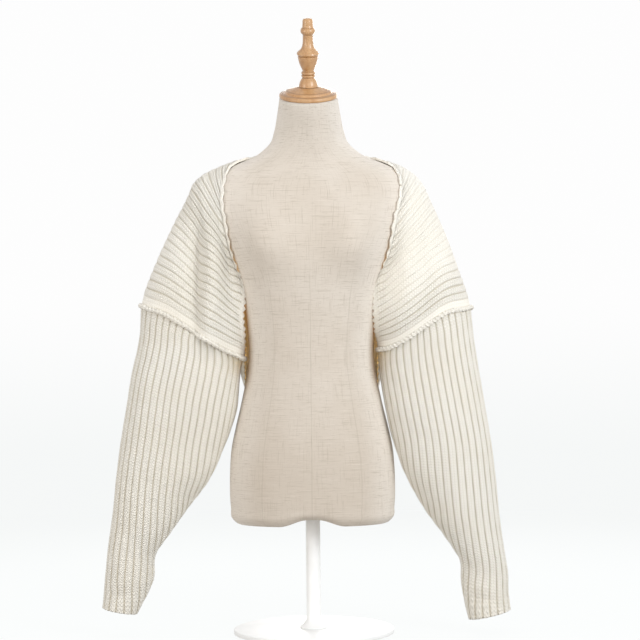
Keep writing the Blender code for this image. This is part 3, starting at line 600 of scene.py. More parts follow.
# Small creases, in ribs from centre back (left is positive) and rows from front to hem:
# where, how long and wide, how far the line slants, and how far it stands out in millimetres
PANEL_CREASES = [
    # rib    row   ribs  rows   slant  out
    (-17.5, 0.145,  5.0, 0.030, 0.004,  2.6),
    (-20.5, 0.300,  4.0, 0.035, 0.006, -2.0),
    (-23.0, 0.090,  3.0, 0.022, 0.003,  1.6),
    (-14.0, 0.250,  3.0, 0.040, 0.010,  1.8),
    (18.5,  0.180,  5.0, 0.035, -.006,  2.0),
    (22.5,  0.300,  4.0, 0.040, -.008, -1.8),
    (25.0,  0.120,  2.5, 0.025, -.003,  1.5),
    (-19.0, 0.700,  5.0, 0.050, 0.008,  3.0),
    (-24.0, 0.800,  3.0, 0.035, 0.004, -2.0),
    (20.0,  0.720,  5.0, 0.050, -.008,  2.6),
    (25.0,  0.640,  3.0, 0.035, -.004, -2.2),
    (-9.0,  0.780,  3.0, 0.060, 0.012,  3.0),
    (10.5,  0.820,  3.5, 0.055, -.012,  3.4),
    (1.5,   0.860,  3.0, 0.050, 0.016,  2.4),
]
print("panel ribs:", 2 * RIBS_PER_HALF, "back drapes:", len(BACK_DRAPES), "creases:", len(PANEL_CREASES))

# %% Points along one rib
RIB_POINTS = 96


def seam_wave(side, w):
    """How far the seam's front leaves its chord, at this share of the way in to the body."""
    above, below = SEAM_WAVE[side]
    return above * bell((w - 0.36) / 0.16) - below * bell((w - 0.74) / 0.12)


def flank(ridge, end, w, turn_deg, swell, rounded):
    """Cloth from the ridge to an edge: how far it turns over, and how far it swells along Y."""
    turn = math.radians(turn_deg)
    share = rounded * (1 - np.cos(w * turn)) / (1 - math.cos(turn)) + (1 - rounded) * w
    points = ridge + share[:, None] * (end - ridge)
    points[:, 1] += swell * np.sin(math.pi * w)
    return points


def fold_front(front, side, rib):
    """Presses the soft vertical fold into one rib's front, shallower at its top and foot."""
    top, foot, half_width, depth = FRONT_FOLD[side]
    drop = (top[1] - front[:, 2]) / (top[1] - foot[1])
    line = top[0] + np.clip(drop, 0, 1) * (foot[0] - top[0])
    t = (front[:, 0] - line) / half_width
    depth = depth * smooth_step(drop * 2.2 + 0.2) * (1 - 0.4 * smooth_step((rib - 24.0) / 4.0))
    push = depth * t * np.exp(0.5 - 0.5 * t * t)
    front[:, 1] += push
    front[:, 2] -= 0.4 * push * smooth_step((25.0 - rib) / 4.0)


def panel_rib(rib):
    """Points of the panel's inner face along one rib, from the front edge to the back hem."""
    side = "left" if rib >= 0 else "right"
    sign, rib = SIDE_SIGN[side], abs(rib)
    ridge = row_at(RIDGE[side], rib)[0]
    edge = row_at(FRONT_EDGE[side], rib)[0]
    swell, turn = row_at(FRONT_SWELL, rib)[0]
    hem = row_at(BACK_HEM, rib)[0]
    to_underarm = np.array(UNDERARM[side]) - BACK_HEM[-1, [1, 3]]
    hem[[0, 2]] += to_underarm * smooth_step((rib - 8.0) / 20.0)
    w = np.linspace(0, 1, RIB_POINTS)
    front = flank(ridge, edge, w, turn, -swell, 1.0)
    back = flank(ridge, hem[:3], w, hem[4], hem[3], smooth_step(rib / NECK_RIB))
    fold_front(front, side, rib)
    front[:, 2] += seam_wave(side, w) * smooth_step((rib - 17.0) / 11.0)
    for centre, spread, deep, reach in BACK_DRAPES:
        back[:, 1] += deep * bell((rib - centre) / spread) * smooth_step((w - 1 + reach) / reach)
    points = back if rib < NECK_RIB else np.concatenate([front[::-1], back[1:]])
    points = lift_off_form(points, CLEARANCE)
    points[:, 0] *= sign
    return points


middle_rib = panel_rib(0.0)
print("the middle rib runs from", middle_rib[0].round(), "to", middle_rib[-1].round(), "in mm")

# %% Panel surface


class Panel:
    """The body panel's inner face, with ribs counted from centre back and rows from 0 to 1."""

    per_rib = 8
    row_count = 120

    def __init__(self):
        steps = RIBS_PER_HALF * self.per_rib
        self.ribs = np.arange(-steps, steps + 1) / self.per_rib
        self.rows = np.linspace(0, 1, self.row_count + 1)
        made = [self.even_rows(panel_rib(rib)) for rib in self.ribs]
        self.grid = np.stack([points for points, length in made])
        self.lengths = np.array([length for points, length in made])

    def even_rows(self, points):
        """The rib's points spaced evenly along it, and its length."""
        lengths = np.concatenate([[0], np.cumsum(np.linalg.norm(np.diff(points, axis=0), axis=1))])
        at = self.rows * lengths[-1]
        return np.stack([np.interp(at, lengths, points[:, k]) for k in range(3)], axis=1), lengths[-1]

    def surface(self, rib, row):
        """Points at any ribs and rows, between the four nearest points of the grid."""
        rib, row = np.broadcast_arrays(np.asarray(rib, float), np.asarray(row, float))
        a = np.clip((rib - self.ribs[0]) * self.per_rib, 0, len(self.ribs) - 1.001)
        b = np.clip(row * self.row_count, 0, self.row_count - 0.001)
        i, j = a.astype(int), b.astype(int)
        u, v = (a - i)[..., None], (b - j)[..., None]
        near = (1 - v) * self.grid[i, j] + v * self.grid[i, j + 1]
        far = (1 - v) * self.grid[i + 1, j] + v * self.grid[i + 1, j + 1]
        return (1 - u) * near + u * far

    def normals(self, rib, row):
        """Outward normals, over a stretch of one rib."""
        last = RIBS_PER_HALF
        beside = [self.surface(np.clip(rib + off, -last, last), row) for off in (-0.5, 0.5)]
        ahead = [self.surface(rib, np.clip(row + off, 0, 1)) for off in (-0.02, 0.02)]
        return unit(np.cross(beside[1] - beside[0], ahead[1] - ahead[0]))


panel = Panel()
print("panel rib lengths in mm, from side to side:", panel.lengths[::56].round(0))

# %% [markdown]
# ## The body panel's cloth
# Hand-knit ribs are never quite even: each one wanders a little and swells and sinks along its
# length. A few slow waves, different for each rib, give that without any random numbers. The
# ribs die away into a plain band beside the sleeve seam, and into a flat cast-on strip along
# the front edge and the hem, whose rim is scalloped by the ribs that end there.

# %% Ribs and their unevenness
FINE_RIBS = 32                          # ribs on each half, a little finer than the tables' count
RIB_SHARES = (0.0, 0.24, 0.42)          # points between a rib's crest and its groove
RIB_ROUND = 0.7                         # how far a rib's flanks fall away
SLEEVE_ROUND = 1.3                      # and on the sleeves
GROOVE_DEPTH = 1.0                      # how much deeper the narrow groove is
GROOVE_WIDE = 0.07                      # its width, as a share of a rib
FLATTEST = 0.78                         # how far the ribs go where the cloth is pulled most
BAND_LEVEL = 0.75                       # height of the plain band, as a share of a rib's
SELVAGE = 9.0                           # flat strip along the edges, in millimetres
SELVAGE_PLAIN = 0.8                     # how much of the ribs is lost on it
SCALLOP = 4.5                           # how far a rib's end stands out of the rim


def slow_wave(a, b, seed):
    """A smooth wander between -1 and 1 over two directions."""
    return (np.sin(a * 1.7 + b * 2.3 + seed) + np.sin(a * 0.61 - b * 3.9 + 2.1 * seed)
            + np.sin(a * 2.9 + b * 0.8 + 0.7 * seed)) / 3


def rib_profile(share, rounding=RIB_ROUND):
    """Height over the wall, from 0 at a crest to 0.5 at a groove."""
    share = np.clip(share, 0, 0.5)
    return RIB_RISE - rounding * (2 * share) ** 2.4 - GROOVE_DEPTH * bell((0.5 - share) / GROOVE_WIDE)


def pulled_flat(rib, row):
    """How far the cloth is pulled flat over the shoulders, most on the wearer's left."""
    left = smooth_step((25.5 - rib) / 5.0) * (0.45 + 0.55 * smooth_step((row - 0.02) / 0.10))
    right = 0.45 * smooth_step((16.0 + rib) / 6.0)
    right += 0.35 * smooth_step((row - 0.16) / 0.12) * bell((rib + 20.0) / 5.0)
    right = np.minimum(right, 1.0) * smooth_step((row - 0.03) / 0.06)
    return FLATTEST * np.where(rib > 0, left, right) * smooth_step((0.62 - row) / 0.2)


def rib_places(last):
    """Fine rib numbers from -last to last, closer together in the grooves."""
    whole = np.arange(-last, last + 1)[:, None]
    shares = np.array([-s for s in RIB_SHARES[:0:-1]] + list(RIB_SHARES) + [0.5])
    places = np.unique(np.round((whole + shares).ravel(), 4))
    return places[(places >= -last) & (places <= last)]


def selvage_share(row, length):
    """1 on the flat strip along the front edge and the hem."""
    return smooth_step((SELVAGE - np.minimum(row, 1 - row) * length) / 2.5 + 0.5)


def panel_height(rib, row, length):
    """Height of the panel's outside over its wall."""
    to_seam = RIBS_PER_HALF - np.abs(rib)
    fine = rib * FINE_RIBS / RIBS_PER_HALF
    crest = rib_profile(np.abs(fine - np.round(fine)))
    crest = RIB_RISE - (RIB_RISE - crest) * (1 - pulled_flat(rib, row))
    crest = crest * (1 + 0.08 * slow_wave(rib * 3.0, row * 30.0, 1.0))
    band = RIB_RISE * BAND_LEVEL * smooth_step(to_seam / 0.5)
    height = np.where(to_seam < BAND_RIBS, band, crest)
    plain = SELVAGE_PLAIN * selvage_share(row, length)
    return height * (1 - plain) + RIB_RISE * plain


def groove_share(rib, row, length):
    """How deep the grooves are: less where the cloth is pulled flat, none on plain knitting."""
    ribbed = smooth_step((RIBS_PER_HALF - BAND_RIBS + 0.3 - np.abs(rib)) / 0.3)
    return ribbed * (1 - selvage_share(row, length)) * (1 - pulled_flat(rib, row))


def panel_creases(rib, row):
    """How far small creases push the cloth out."""
    total = np.zeros(rib.shape)
    for at_rib, at_row, ribs, rows, slant, out in PANEL_CREASES:
        beside = rib - at_rib
        total += out * bell(beside / ribs) * bell((row - at_row - slant * beside) / rows)
    return total


print("crest and groove over the wall in mm:", rib_profile(np.array([0.0, 0.5])).round(2))

# %% Seam between panel and sleeve
SEAM_GAP = 0.6          # sleeve to panel, under the rolled seam

# The sleeves' sections from the seam to the cuff: the outer and the inner line, half the depth
# and where its middle lies along Y
SLEEVE_TABLE = {
    "right": np.array([
        # outer x, z    inner x, z  deep   middle
        [297.0, 574.0, 116.5, 479.7, 55.0,   0.0],
        [298.6, 530.4, 122.8, 458.2, 57.0,  -4.0],
        [303.7, 496.8, 125.5, 425.1, 58.0,  -9.0],
        [313.7, 453.3, 131.0, 383.2, 57.0, -15.0],
        [322.1, 401.1, 149.0, 332.8, 55.0, -18.0],
        [332.6, 338.9, 177.1, 270.2, 51.0, -20.0],
        [340.8, 279.2, 214.3, 221.7, 47.0, -21.0],
        [347.5, 218.2, 246.2, 178.4, 43.0, -21.0],
        [356.9, 153.8, 272.7, 140.2, 38.0, -21.0],
        [363.0,  96.3, 275.7, 103.6, 36.0, -21.0],
        [365.2,  71.9, 284.2,  80.1, 34.0, -20.0],
        [368.0,  50.1, 305.2,  39.3, 31.0, -19.0],
    ]),
    "left": np.array([
        [280.0, 565.0, 117.0, 493.0, 55.0,   0.0],
        [284.3, 517.0, 117.5, 466.3, 56.0,  -6.0],
        [291.6, 461.1, 121.0, 431.3, 57.0, -13.0],
        [300.6, 403.4, 128.0, 387.6, 57.0, -20.0],
        [311.2, 333.6, 138.5, 340.4, 56.0, -24.0],
        [318.4, 272.5, 158.0, 282.5, 52.0, -25.0],
        [324.7, 202.6, 190.8, 221.1, 48.0, -24.0],
        [332.1, 145.0, 226.9, 171.8, 43.0, -23.0],
        [338.5, 103.1, 253.6, 128.8, 39.0, -22.0],
        [339.0,  71.7, 255.8,  94.7, 37.0, -21.0],
        [341.1,  54.2, 259.0,  65.0, 35.5, -20.0],
        [343.3,  40.8, 268.0,  23.3, 33.5, -19.0],
    ]),
}


def arm_direction(side):
    """Square to the seam's chord and down the arm."""
    ring = SLEEVE_TABLE[side][0]
    across, up = ring[0:2] - ring[2:4]
    return unit(np.array([SIDE_SIGN[side] * up, 0.0, -across]))


def seam_line(side, stand_off):
    """The panel's end at a sleeve seam, as a function of the row."""
    rows = panel.rows
    ends = panel.surface(SIDE_SIGN[side] * RIBS_PER_HALF, rows)
    ring = np.concatenate([ends[-4:-1], ends, ends[1:4]])
    outward = unit(np.cross(arm_direction(side), ring[6:] - ring[:-6]) * SIDE_SIGN[side])
    ends = ends + outward * stand_off
    return lambda row: np.stack([np.interp(row, rows, ends[:, k]) for k in range(3)], axis=-1)


print("down each arm:", {side: arm_direction(side).round(2).tolist() for side in SLEEVE_TABLE})

# %% Panel mesh
PANEL_ROW_STEPS = 108
EDGE_ROWS = np.array([0.003, 0.006, 0.011, 0.016])      # more rows along the two edges
EDGE_REACH = 0.012      # how far in from an edge its scallops start, in rows
RIB_WANDER = 0.07       # how far a rib strays to the side, in ribs
INNER_RELIEF = 0.35     # how much of the ribs shows on the inside
RIM_OUT = 1.1           # how far the rims stand out between the two faces


def edge_ways_out(base, normal):
    """At every point, the way out of the cloth square to the nearer of its two edges."""
    out = np.zeros_like(base)
    half = len(base) // 2
    for rows, edge, inward in ((slice(0, half), 0, 6), (slice(half, None), -1, -7)):
        square = np.cross(normal[edge], np.gradient(base[edge], axis=0))
        square *= np.sign(np.sum(square * (base[edge] - base[inward]), axis=1, keepdims=True))
        out[rows] = unit(square)
    return out


def panel_base(fine, rib, row):
    """The inner face with wandering ribs and creases, its front edge laid on the form."""
    inside_seam = smooth_step((RIBS_PER_HALF - np.abs(rib)) / 2.0)
    wander = RIB_WANDER * slow_wave(np.round(fine) * 1.9, row * 11.0, 4.0) * inside_seam
    normal = panel.normals(rib, row)
    push = panel_creases(rib, row) * inside_seam
    base = panel.surface(rib + wander, row) + normal * push[..., None]
    base = lift_off_form(base.reshape(-1, 3), CLEARANCE - 0.4)
    laid = smooth_step((0.055 - row) / 0.05) * smooth_step((22.5 - np.abs(rib)) / 7.0)
    return lay_on_form(base, laid.ravel()).reshape(rib.shape + (3,)), normal


def panel_trim(rib, row, length):
    """Depth of groove, and the share of painted warm shade and glow, at each point of the outside, the
    inside and the rims.
    """
    deep = groove_share(rib, row, length)
    # Painted warm shade and glow on the inside towards the underarm, and on the outside near the hem there.
    painted_glow_and_shade = smooth_step((np.abs(rib) - 13.5) / 3.5)
    underarm_glow_and_shade = 0.45 * smooth_step((np.abs(rib) - 17.0) / 3.0) * smooth_step((row - 0.88) / 0.06)
    deep = np.concatenate([deep, deep, deep[[0, -1]]])
    light = np.concatenate([underarm_glow_and_shade, painted_glow_and_shade, 0.0 * painted_glow_and_shade[:1], 0.7 * painted_glow_and_shade[-1:]])
    return np.stack([deep.ravel(), light.ravel()], axis=1)


def panel_faces(across, along):
    """Faces of the outside, the inside, the two rims and the two ends."""
    rows, columns = across.shape
    outside = corner_grid(0, (rows, columns), across, along)
    inside = corner_grid(rows * columns, (rows, columns), across, along)
    rims = corner_grid(2 * rows * columns, (2, columns), across[[0, -1]], along[[0, -1]])
    strips = [outside, inside[::-1], [inside[0], rims[0], outside[0]], [outside[-1], rims[1], inside[-1]]]
    strips.append([[line[0] for line in grid] for grid in (outside, inside)])
    strips.append([[line[-1] for line in grid] for grid in (inside, outside)])
    return [face for strip in strips for face in sheet_faces(strip)]


def build_panel():
    """The body panel as one thin closed wall."""
    even = np.linspace(0, 1, PANEL_ROW_STEPS)
    rows = np.unique(np.concatenate([even, EDGE_ROWS, 1 - EDGE_ROWS]))
    fine, row = np.meshgrid(rib_places(FINE_RIBS), rows)
    rib = fine * RIBS_PER_HALF / FINE_RIBS
    length = np.interp(rib, panel.ribs, panel.lengths)
    base, normal = panel_base(fine, rib, row)
    height = panel_height(rib, row, length)
    at_edge = np.clip(1 - np.minimum(row, 1 - row) / EDGE_REACH, 0, 1)
    crest = bell((fine - np.round(fine)) / 0.3)
    scallop = (SCALLOP * crest * at_edge)[..., None] * edge_ways_out(base, normal)
    outer = base + normal * (WALL + height)[..., None] + scallop
    inner = base + normal * (INNER_RELIEF * np.maximum(height, 0))[..., None] + scallop * 0.6
    for column, side in ((0, "right"), (-1, "left")):
        outer[:, column] = seam_line(side, WALL)(rows)
        inner[:, column] = seam_line(side, 0.0)(rows)
    out = unit(np.gradient(base, axis=0))[[0, -1]] * np.array([-RIM_OUT, RIM_OUT])[:, None, None]
    rim = 0.5 * (outer[[0, -1]] + inner[[0, -1]]) + out
    points = np.concatenate([layer.reshape(-1, 3) for layer in (outer, inner, rim)])
    faces = panel_faces(fine, row * length)
    return make_piece("knit_body", points, faces, panel_knit, panel_trim(rib, row, length))


knit_body = build_panel()

# %% [markdown]
# ## The sleeves
# Each sleeve is a tube that narrows from the armhole to the wrist. The ribs keep their width,
# so towards the underarm seam they run out one by one, as they do where a knitter decreases.
# A bent tube with its ribs drawn on would squeeze them together instead. The two sleeves hang
# differently, so each has its own table of sections and its own creases.

# %% Sleeve creases
SLEEVE_PITCH = 12.4     # from one groove to the next, in millimetres

# Where down the table's rows, how far round from the outer line in millimetres (front is
# positive), run along, spread round, slant, and depth (negative is a ridge)
SLEEVE_FOLDS = {
    "right": [
        # ring   round   run  spread  slant  depth
        (0.9,   128.0,  0.8,  18.0,   8.0,  4.0),
        (0.9,   164.0,  0.8,  17.0,   8.0, -2.0),
        (5.6,   150.0,  0.5,  34.0, -30.0,  5.0),
        (4.4,   120.0,  0.6,  40.0, -40.0,  3.0),
        (7.6,    60.0,  0.6,  30.0,  20.0,  3.0),
        (1.0,  -120.0,  0.8,  19.0,  -6.0,  4.0),
        (5.2,  -130.0,  0.6,  36.0,  30.0,  4.5),
        (9.9,    40.0,  0.5,  16.0,   0.0,  2.5),
        (9.9,   -42.0,  0.5,  16.0,   0.0,  2.5),
        (2.6,    86.0,  1.2,  13.0,   4.0,  1.4),
        (3.4,    58.0,  1.5,  12.0,  -3.0, -1.2),
        (6.6,    96.0,  0.7,  14.0,  10.0,  1.6),
        (8.8,    52.0,  0.6,  12.0,   4.0, -1.3),
        (3.0,   -70.0,  1.2,  14.0,   5.0,  1.6),
        (7.0,   -80.0,  0.8,  14.0,  -8.0,  1.8),
    ],
    "left": [
        (0.9,   112.0,  0.8,  18.0,   6.0,  3.0),
        (0.9,   146.0,  0.8,  17.0,   6.0, -1.5),
        (5.8,   130.0,  0.5,  32.0, -24.0,  4.0),
        (8.2,    50.0,  0.6,  26.0,  16.0,  3.0),
        (1.0,  -110.0,  0.8,  19.0,  -8.0,  4.0),
        (4.8,  -120.0,  0.6,  36.0,  30.0,  4.5),
        (9.9,    62.0,  0.5,  16.0,   0.0,  3.0),
        (9.9,   -44.0,  0.5,  16.0,   0.0,  2.5),
        (2.2,    74.0,  1.3,  13.0,   3.0,  1.4),
        (4.2,    96.0,  1.0,  13.0,  -6.0, -1.2),
        (7.0,    80.0,  0.7,  14.0,   8.0,  1.6),
        (2.8,   -76.0,  1.2,  14.0,  -5.0,  1.5),
        (7.4,   -66.0,  0.8,  13.0,   7.0,  1.6),
    ],
}
print("sleeve creases:", {side: len(folds) for side, folds in SLEEVE_FOLDS.items()})

# %% Sleeve surface


class Sleeve:
    """One sleeve's inner face, by place down its table and by angle from the outer line."""

    def __init__(self, side):
        self.side = side
        self.table = np.column_stack([np.arange(len(SLEEVE_TABLE[side])), SLEEVE_TABLE[side]])

    def ring(self, place):
        """Middle, outward half axis, half depth and middle in Y of the inner face at one place."""
        row = row_at(self.table, place)[0]
        outer, inner, deep, middle = row[0:2], row[2:4], row[4], row[5]
        width = np.linalg.norm(outer - inner)
        half = (outer - inner) / width * (width / 2 - WALL - RIB_RISE)
        return (outer + inner) / 2, half, deep - WALL - RIB_RISE, middle

    def half_round(self, place):
        """Lengths of cloth from the outer line round to the underarm, and their angles."""
        _, half, deep, _ = self.ring(place)
        angle = np.linspace(0, math.pi, 181)
        x, y = np.linalg.norm(half) * np.cos(angle), deep * np.sin(angle)
        return np.concatenate([[0], np.cumsum(np.hypot(np.diff(x), np.diff(y)))]), angle

    def folds(self, place, round_mm):
        """How far the creases press the ring in."""
        total = np.zeros_like(round_mm)
        for row, at, run, spread, slant, depth in SLEEVE_FOLDS[self.side]:
            down = place - row
            total += depth * bell(down / run) * bell((round_mm - at - slant * down) / spread)
        return total

    def line(self, place, turn):
        """The ring's points at these angles."""
        centre, half, deep, middle = self.ring(place)
        c, s = np.cos(turn), np.sin(turn)
        points = np.stack([centre[0] + half[0] * c, middle - deep * s, centre[1] + half[1] * c], axis=1)
        inward = unit(np.stack([-half[0] * c, deep * s, -half[1] * c], axis=1))
        round_mm = turn * (np.linalg.norm(half) + deep) / 2
        points += inward * self.folds(place, round_mm)[:, None]
        points[:, 0] *= SIDE_SIGN[self.side]
        return points


def grid_normals(points, sign):
    """Normals of a grid of rings, by differences along and round them, closed at the underarm."""
    wide = np.concatenate([points[:, -4:-1], points, points[:, 1:4]], axis=1)
    return unit(np.cross(np.gradient(points, axis=0), wide[:, 6:] - wide[:, :-6]) * sign)


arm_round = {side: Sleeve(side).half_round(0.0)[0][-1] * 2 for side in SLEEVE_TABLE}
print("round each armhole in mm:", {side: round(float(length)) for side, length in arm_round.items()})

# %% Rings of a sleeve
SLEEVE_RINGS = 118
RING_SPACING = 1.08     # over 1 brings the rings closer together towards the seam
SEAM_BLEND = 0.6        # how far down the table the sleeve takes to leave the seam's own line
GROOVE_STEPS = np.array([0.0, 0.06, 0.16, 0.32, 0.5, 0.68, 0.84, 0.94])


def sleeve_columns(longest):
    """Millimetres round from the outer line, closer together in the grooves at whole pitches."""
    pitches = np.arange(math.ceil(longest / SLEEVE_PITCH))[:, None] + GROOVE_STEPS
    half = pitches.ravel() * SLEEVE_PITCH
    half = np.append(half[half < longest], longest)
    return np.concatenate([-half[:0:-1], half])


def seam_ring(side, stand_off, share):
    """The sleeve's first ring, beside the panel's end, its two ends drawn together."""
    seam = seam_line(side, stand_off)
    ring = seam(0.5 - 0.5 * share)
    ring[[0, -1]] = 0.5 * (seam(0.0) + seam(1.0))
    return ring + SEAM_GAP * arm_direction(side)


def sleeve_ring(sleeve, columns, place):
    """One ring of the inner face, the height of its ribs, and its millimetres round."""
    lengths, angles = sleeve.half_round(place)
    longest = lengths[-1]
    used = np.clip(columns, -longest, longest)
    ring = sleeve.line(place, np.sign(used) * np.interp(np.abs(used), lengths, angles))
    if place < SEAM_BLEND:
        mix = smooth_step(place / SEAM_BLEND)
        ring = ring * mix + seam_ring(sleeve.side, 0.0, used / longest) * (1 - mix)
    pitches = used / SLEEVE_PITCH
    pitches = pitches + 0.05 * slow_wave(np.round(pitches), place * 2.2, 7.0)
    crest = rib_profile(0.5 - np.abs(pitches - np.round(pitches)), SLEEVE_ROUND)
    at_underarm = smooth_step((longest - np.abs(used)) / (0.6 * SLEEVE_PITCH))
    at_seam = 0.3 + 0.7 * smooth_step(place / 0.12)
    uneven = 1 + 0.1 * slow_wave(used / 9.0, place * 3.0, 2.0)
    return ring, crest * at_underarm * at_seam * uneven, used


armhole_points = {side: len(sleeve_columns(length / 2)) for side, length in arm_round.items()}
print("points round each armhole:", armhole_points)

# %% Sleeve mesh
SLEEVE_RIM_OUT = 0.9    # how far the cuff's rim stands out between its two faces


def build_sleeve(side):
    """One sleeve's layers: outside, inside and the cuff's rim."""
    sleeve = Sleeve(side)
    places = np.linspace(0, 1, SLEEVE_RINGS) ** RING_SPACING * (len(sleeve.table) - 1)
    columns = sleeve_columns(sleeve.half_round(0.0)[0][-1])
    rings = [sleeve_ring(sleeve, columns, place) for place in places]
    base, rise, used = [np.array(part) for part in zip(*rings)]
    normal = grid_normals(base, -SIDE_SIGN[side])
    outer = base + normal * (WALL + rise)[..., None]
    inner = base + normal * (INNER_RELIEF * np.maximum(rise, 0))[..., None]
    outer[0] = seam_ring(side, WALL, columns / columns[-1])
    inner[0] = base[0]
    rim = 0.5 * (outer[-1] + inner[-1]) + unit(base[-1] - base[-2]) * SLEEVE_RIM_OUT
    steps = np.linalg.norm(np.diff(base[:, len(columns) // 2], axis=0), axis=1)
    along = np.concatenate([[0], np.cumsum(steps)])[:, None] + 0 * used
    # Painted warm shade and glow on the inner side of the sleeve near the armpit, beside the body.
    near_arm = smooth_step((2.0 - places) / 1.6)[:, None]
    towards_body = np.abs(used) / np.abs(used).max(axis=1, keepdims=True)
    painted_glow_and_shade = 0.50 * near_arm * smooth_step((towards_body - 0.72) / 0.25)
    return sleeve_piece(side, (outer, inner, rim[None]), used / SLEEVE_PITCH, along, painted_glow_and_shade)


def sleeve_piece(side, layers, across, along, painted_glow_and_shade):
    """Closes the sleeve's layers into one thin wall, with columns past the underarm drawn together."""
    points, trim, grids = [], [], []
    for layer in layers:
        rows = []
        for ring, line in zip(range(-len(layer), 0), layer):
            end = across[ring].max() - 1e-6
            underarm, row = None, []
            for k, point in enumerate(line):
                closed = abs(across[ring, k]) >= end
                if underarm is None or not closed:
                    points.append(point)
                    trim.append((1.0, painted_glow_and_shade[ring, k]))
                vertex = len(points) - 1 if underarm is None or not closed else underarm
                if closed:
                    underarm = vertex
                row.append((vertex, (across[ring, k], along[ring, k])))
            rows.append(row)
        grids.append(rows)
    outside, inside, rim = grids
    faces = sheet_faces(outside) + sheet_faces(inside[::-1])
    faces += sheet_faces([outside[-1], rim[0], inside[-1]]) + sheet_faces([inside[0], outside[0]])
    if side == "right":
        faces = [face[::-1] for face in faces]
    return make_piece(f"knit_sleeve_{side}", points, faces, sleeve_knit, trim)


knit_sleeves = {side: build_sleeve(side) for side in ("right", "left")}

# %% [markdown]
# ## The rolled seams
# Where a sleeve meets the body, the seam is bound by a fat rolled edge, worked over with the
# same yarn. A plain tube would look like piping, so its radius swells with every wrap of yarn,
# and the tube wanders a little as hand sewing does.

# %% Rolled seams
ROLL_RADIUS = 3.1
ROLL_SIDES = 12
ROLL_RINGS = 1199
ROLL_WIDER = 1.2        # how much wider it is than tall
SMOOTHING = 8           # rings on either side that smooth the seam's line
WRAP = 7.0              # one wrap of yarn along the roll
PIECE_GAP = 0.3         # roll to the ribs below it


def build_roll(side):
    """A closed tube along the panel's end, swollen by its wraps of yarn."""
    path = seam_line(side, 0.0)(np.linspace(0, 1, ROLL_RINGS + 1)[:-1])
    near = range(-SMOOTHING, SMOOTHING + 1)
    weight = bell(np.array(near) / 5.0)
    path = sum(w * np.roll(path, k, axis=0) for k, w in zip(near, weight / weight.sum()))
    ahead = np.roll(path, -3, axis=0) - np.roll(path, 3, axis=0)
    outward = unit(np.cross(arm_direction(side), ahead) * SIDE_SIGN[side])
    sideways = unit(np.cross(outward, ahead))
    steps = np.linalg.norm(np.roll(path, -1, axis=0) - path, axis=1)
    along = np.concatenate([[0], np.cumsum(steps)])
    travelled = along[:-1, None]
    phase = travelled / along[-1] * round(along[-1] / WRAP) * 2 * math.pi
    turn = np.linspace(0, 2 * math.pi, ROLL_SIDES + 1)
    bulge = 0.68 + 0.50 * np.abs(np.sin(0.5 * phase + 0.5 * turn[:-1]))
    bulge += 0.10 * np.sin(0.13 * travelled) * np.cos(0.045 * travelled)
    c, s = np.cos(turn[:-1])[:, None], np.sin(turn[:-1])[:, None]
    out = ROLL_RADIUS * bulge[..., None] * (c * outward[:, None] + ROLL_WIDER * s * sideways[:, None])
    centre = path + outward * (WALL + 0.4 * RIB_RISE + PIECE_GAP + ROLL_RADIUS * 0.9)
    centre = centre + sideways * (0.5 * np.sin(phase / 7.0))
    points = (centre[:, None] + out).reshape(-1, 3)
    across = turn / math.pi * 1.5
    faces = sheet_faces([
        ring_corners(ring % ROLL_RINGS * ROLL_SIDES, ROLL_SIDES, across, np.full(len(turn), length))
        for ring, length in enumerate(along)
    ])
    if side == "left":
        faces = [face[::-1] for face in faces]
    return make_piece(f"knit_roll_{side}", points, faces, seam_knit, np.tile((1.0, 0.0), (len(points), 1)))


knit_rolls = {side: build_roll(side) for side in ("right", "left")}

# %% [markdown]
# ## The form's linen
# A dress form is padded and covered with panels of plain-woven linen, cut like a bodice: a seam
# down the middle, one over each bust and one at each side. The weave has thick slubs in both
# directions, which are stretched noise, because threads this fine can't be modelled. The map runs
# round the form in millimetres from centre front, so that each seam is one line of the map and
# the weave keeps its size.

# %% Linen shader
LINEN_LIGHT = (0.715, 0.648, 0.568, 1)
LINEN_DARK = (0.655, 0.580, 0.494, 1)
LINEN_THREAD = (0.455, 0.385, 0.300, 1)
# pale threads of the weave, and painted light towards the neck and on the sides
LINEN_PALE_AND_PAINTED_LIGHT = (0.825, 0.762, 0.684, 1)
LINEN_PAINTED_SHADE_LOW = (0.520, 0.435, 0.345, 1)            # painted shade, darker towards the hem
LINEN_PAINTED_GLOW_AND_SHADE = (0.27, 0.165, 0.070, 1)            # painted warm shade and glow on the sides beside the arms
LINEN_GLINT = (0.022, 0.012, 0.004, 1)          # and a painted glow there, given off by the linen itself
LINEN_BUMP = 0.30                               # millimetres
THREAD = 1.3                                    # from one thread of the weave to the next
FORM_SEAMS = (0.0, 96.0, 208.0, 318.0, 404.0)   # millimetres round from centre front
SIDE_SEAM = FORM_SEAMS[2]


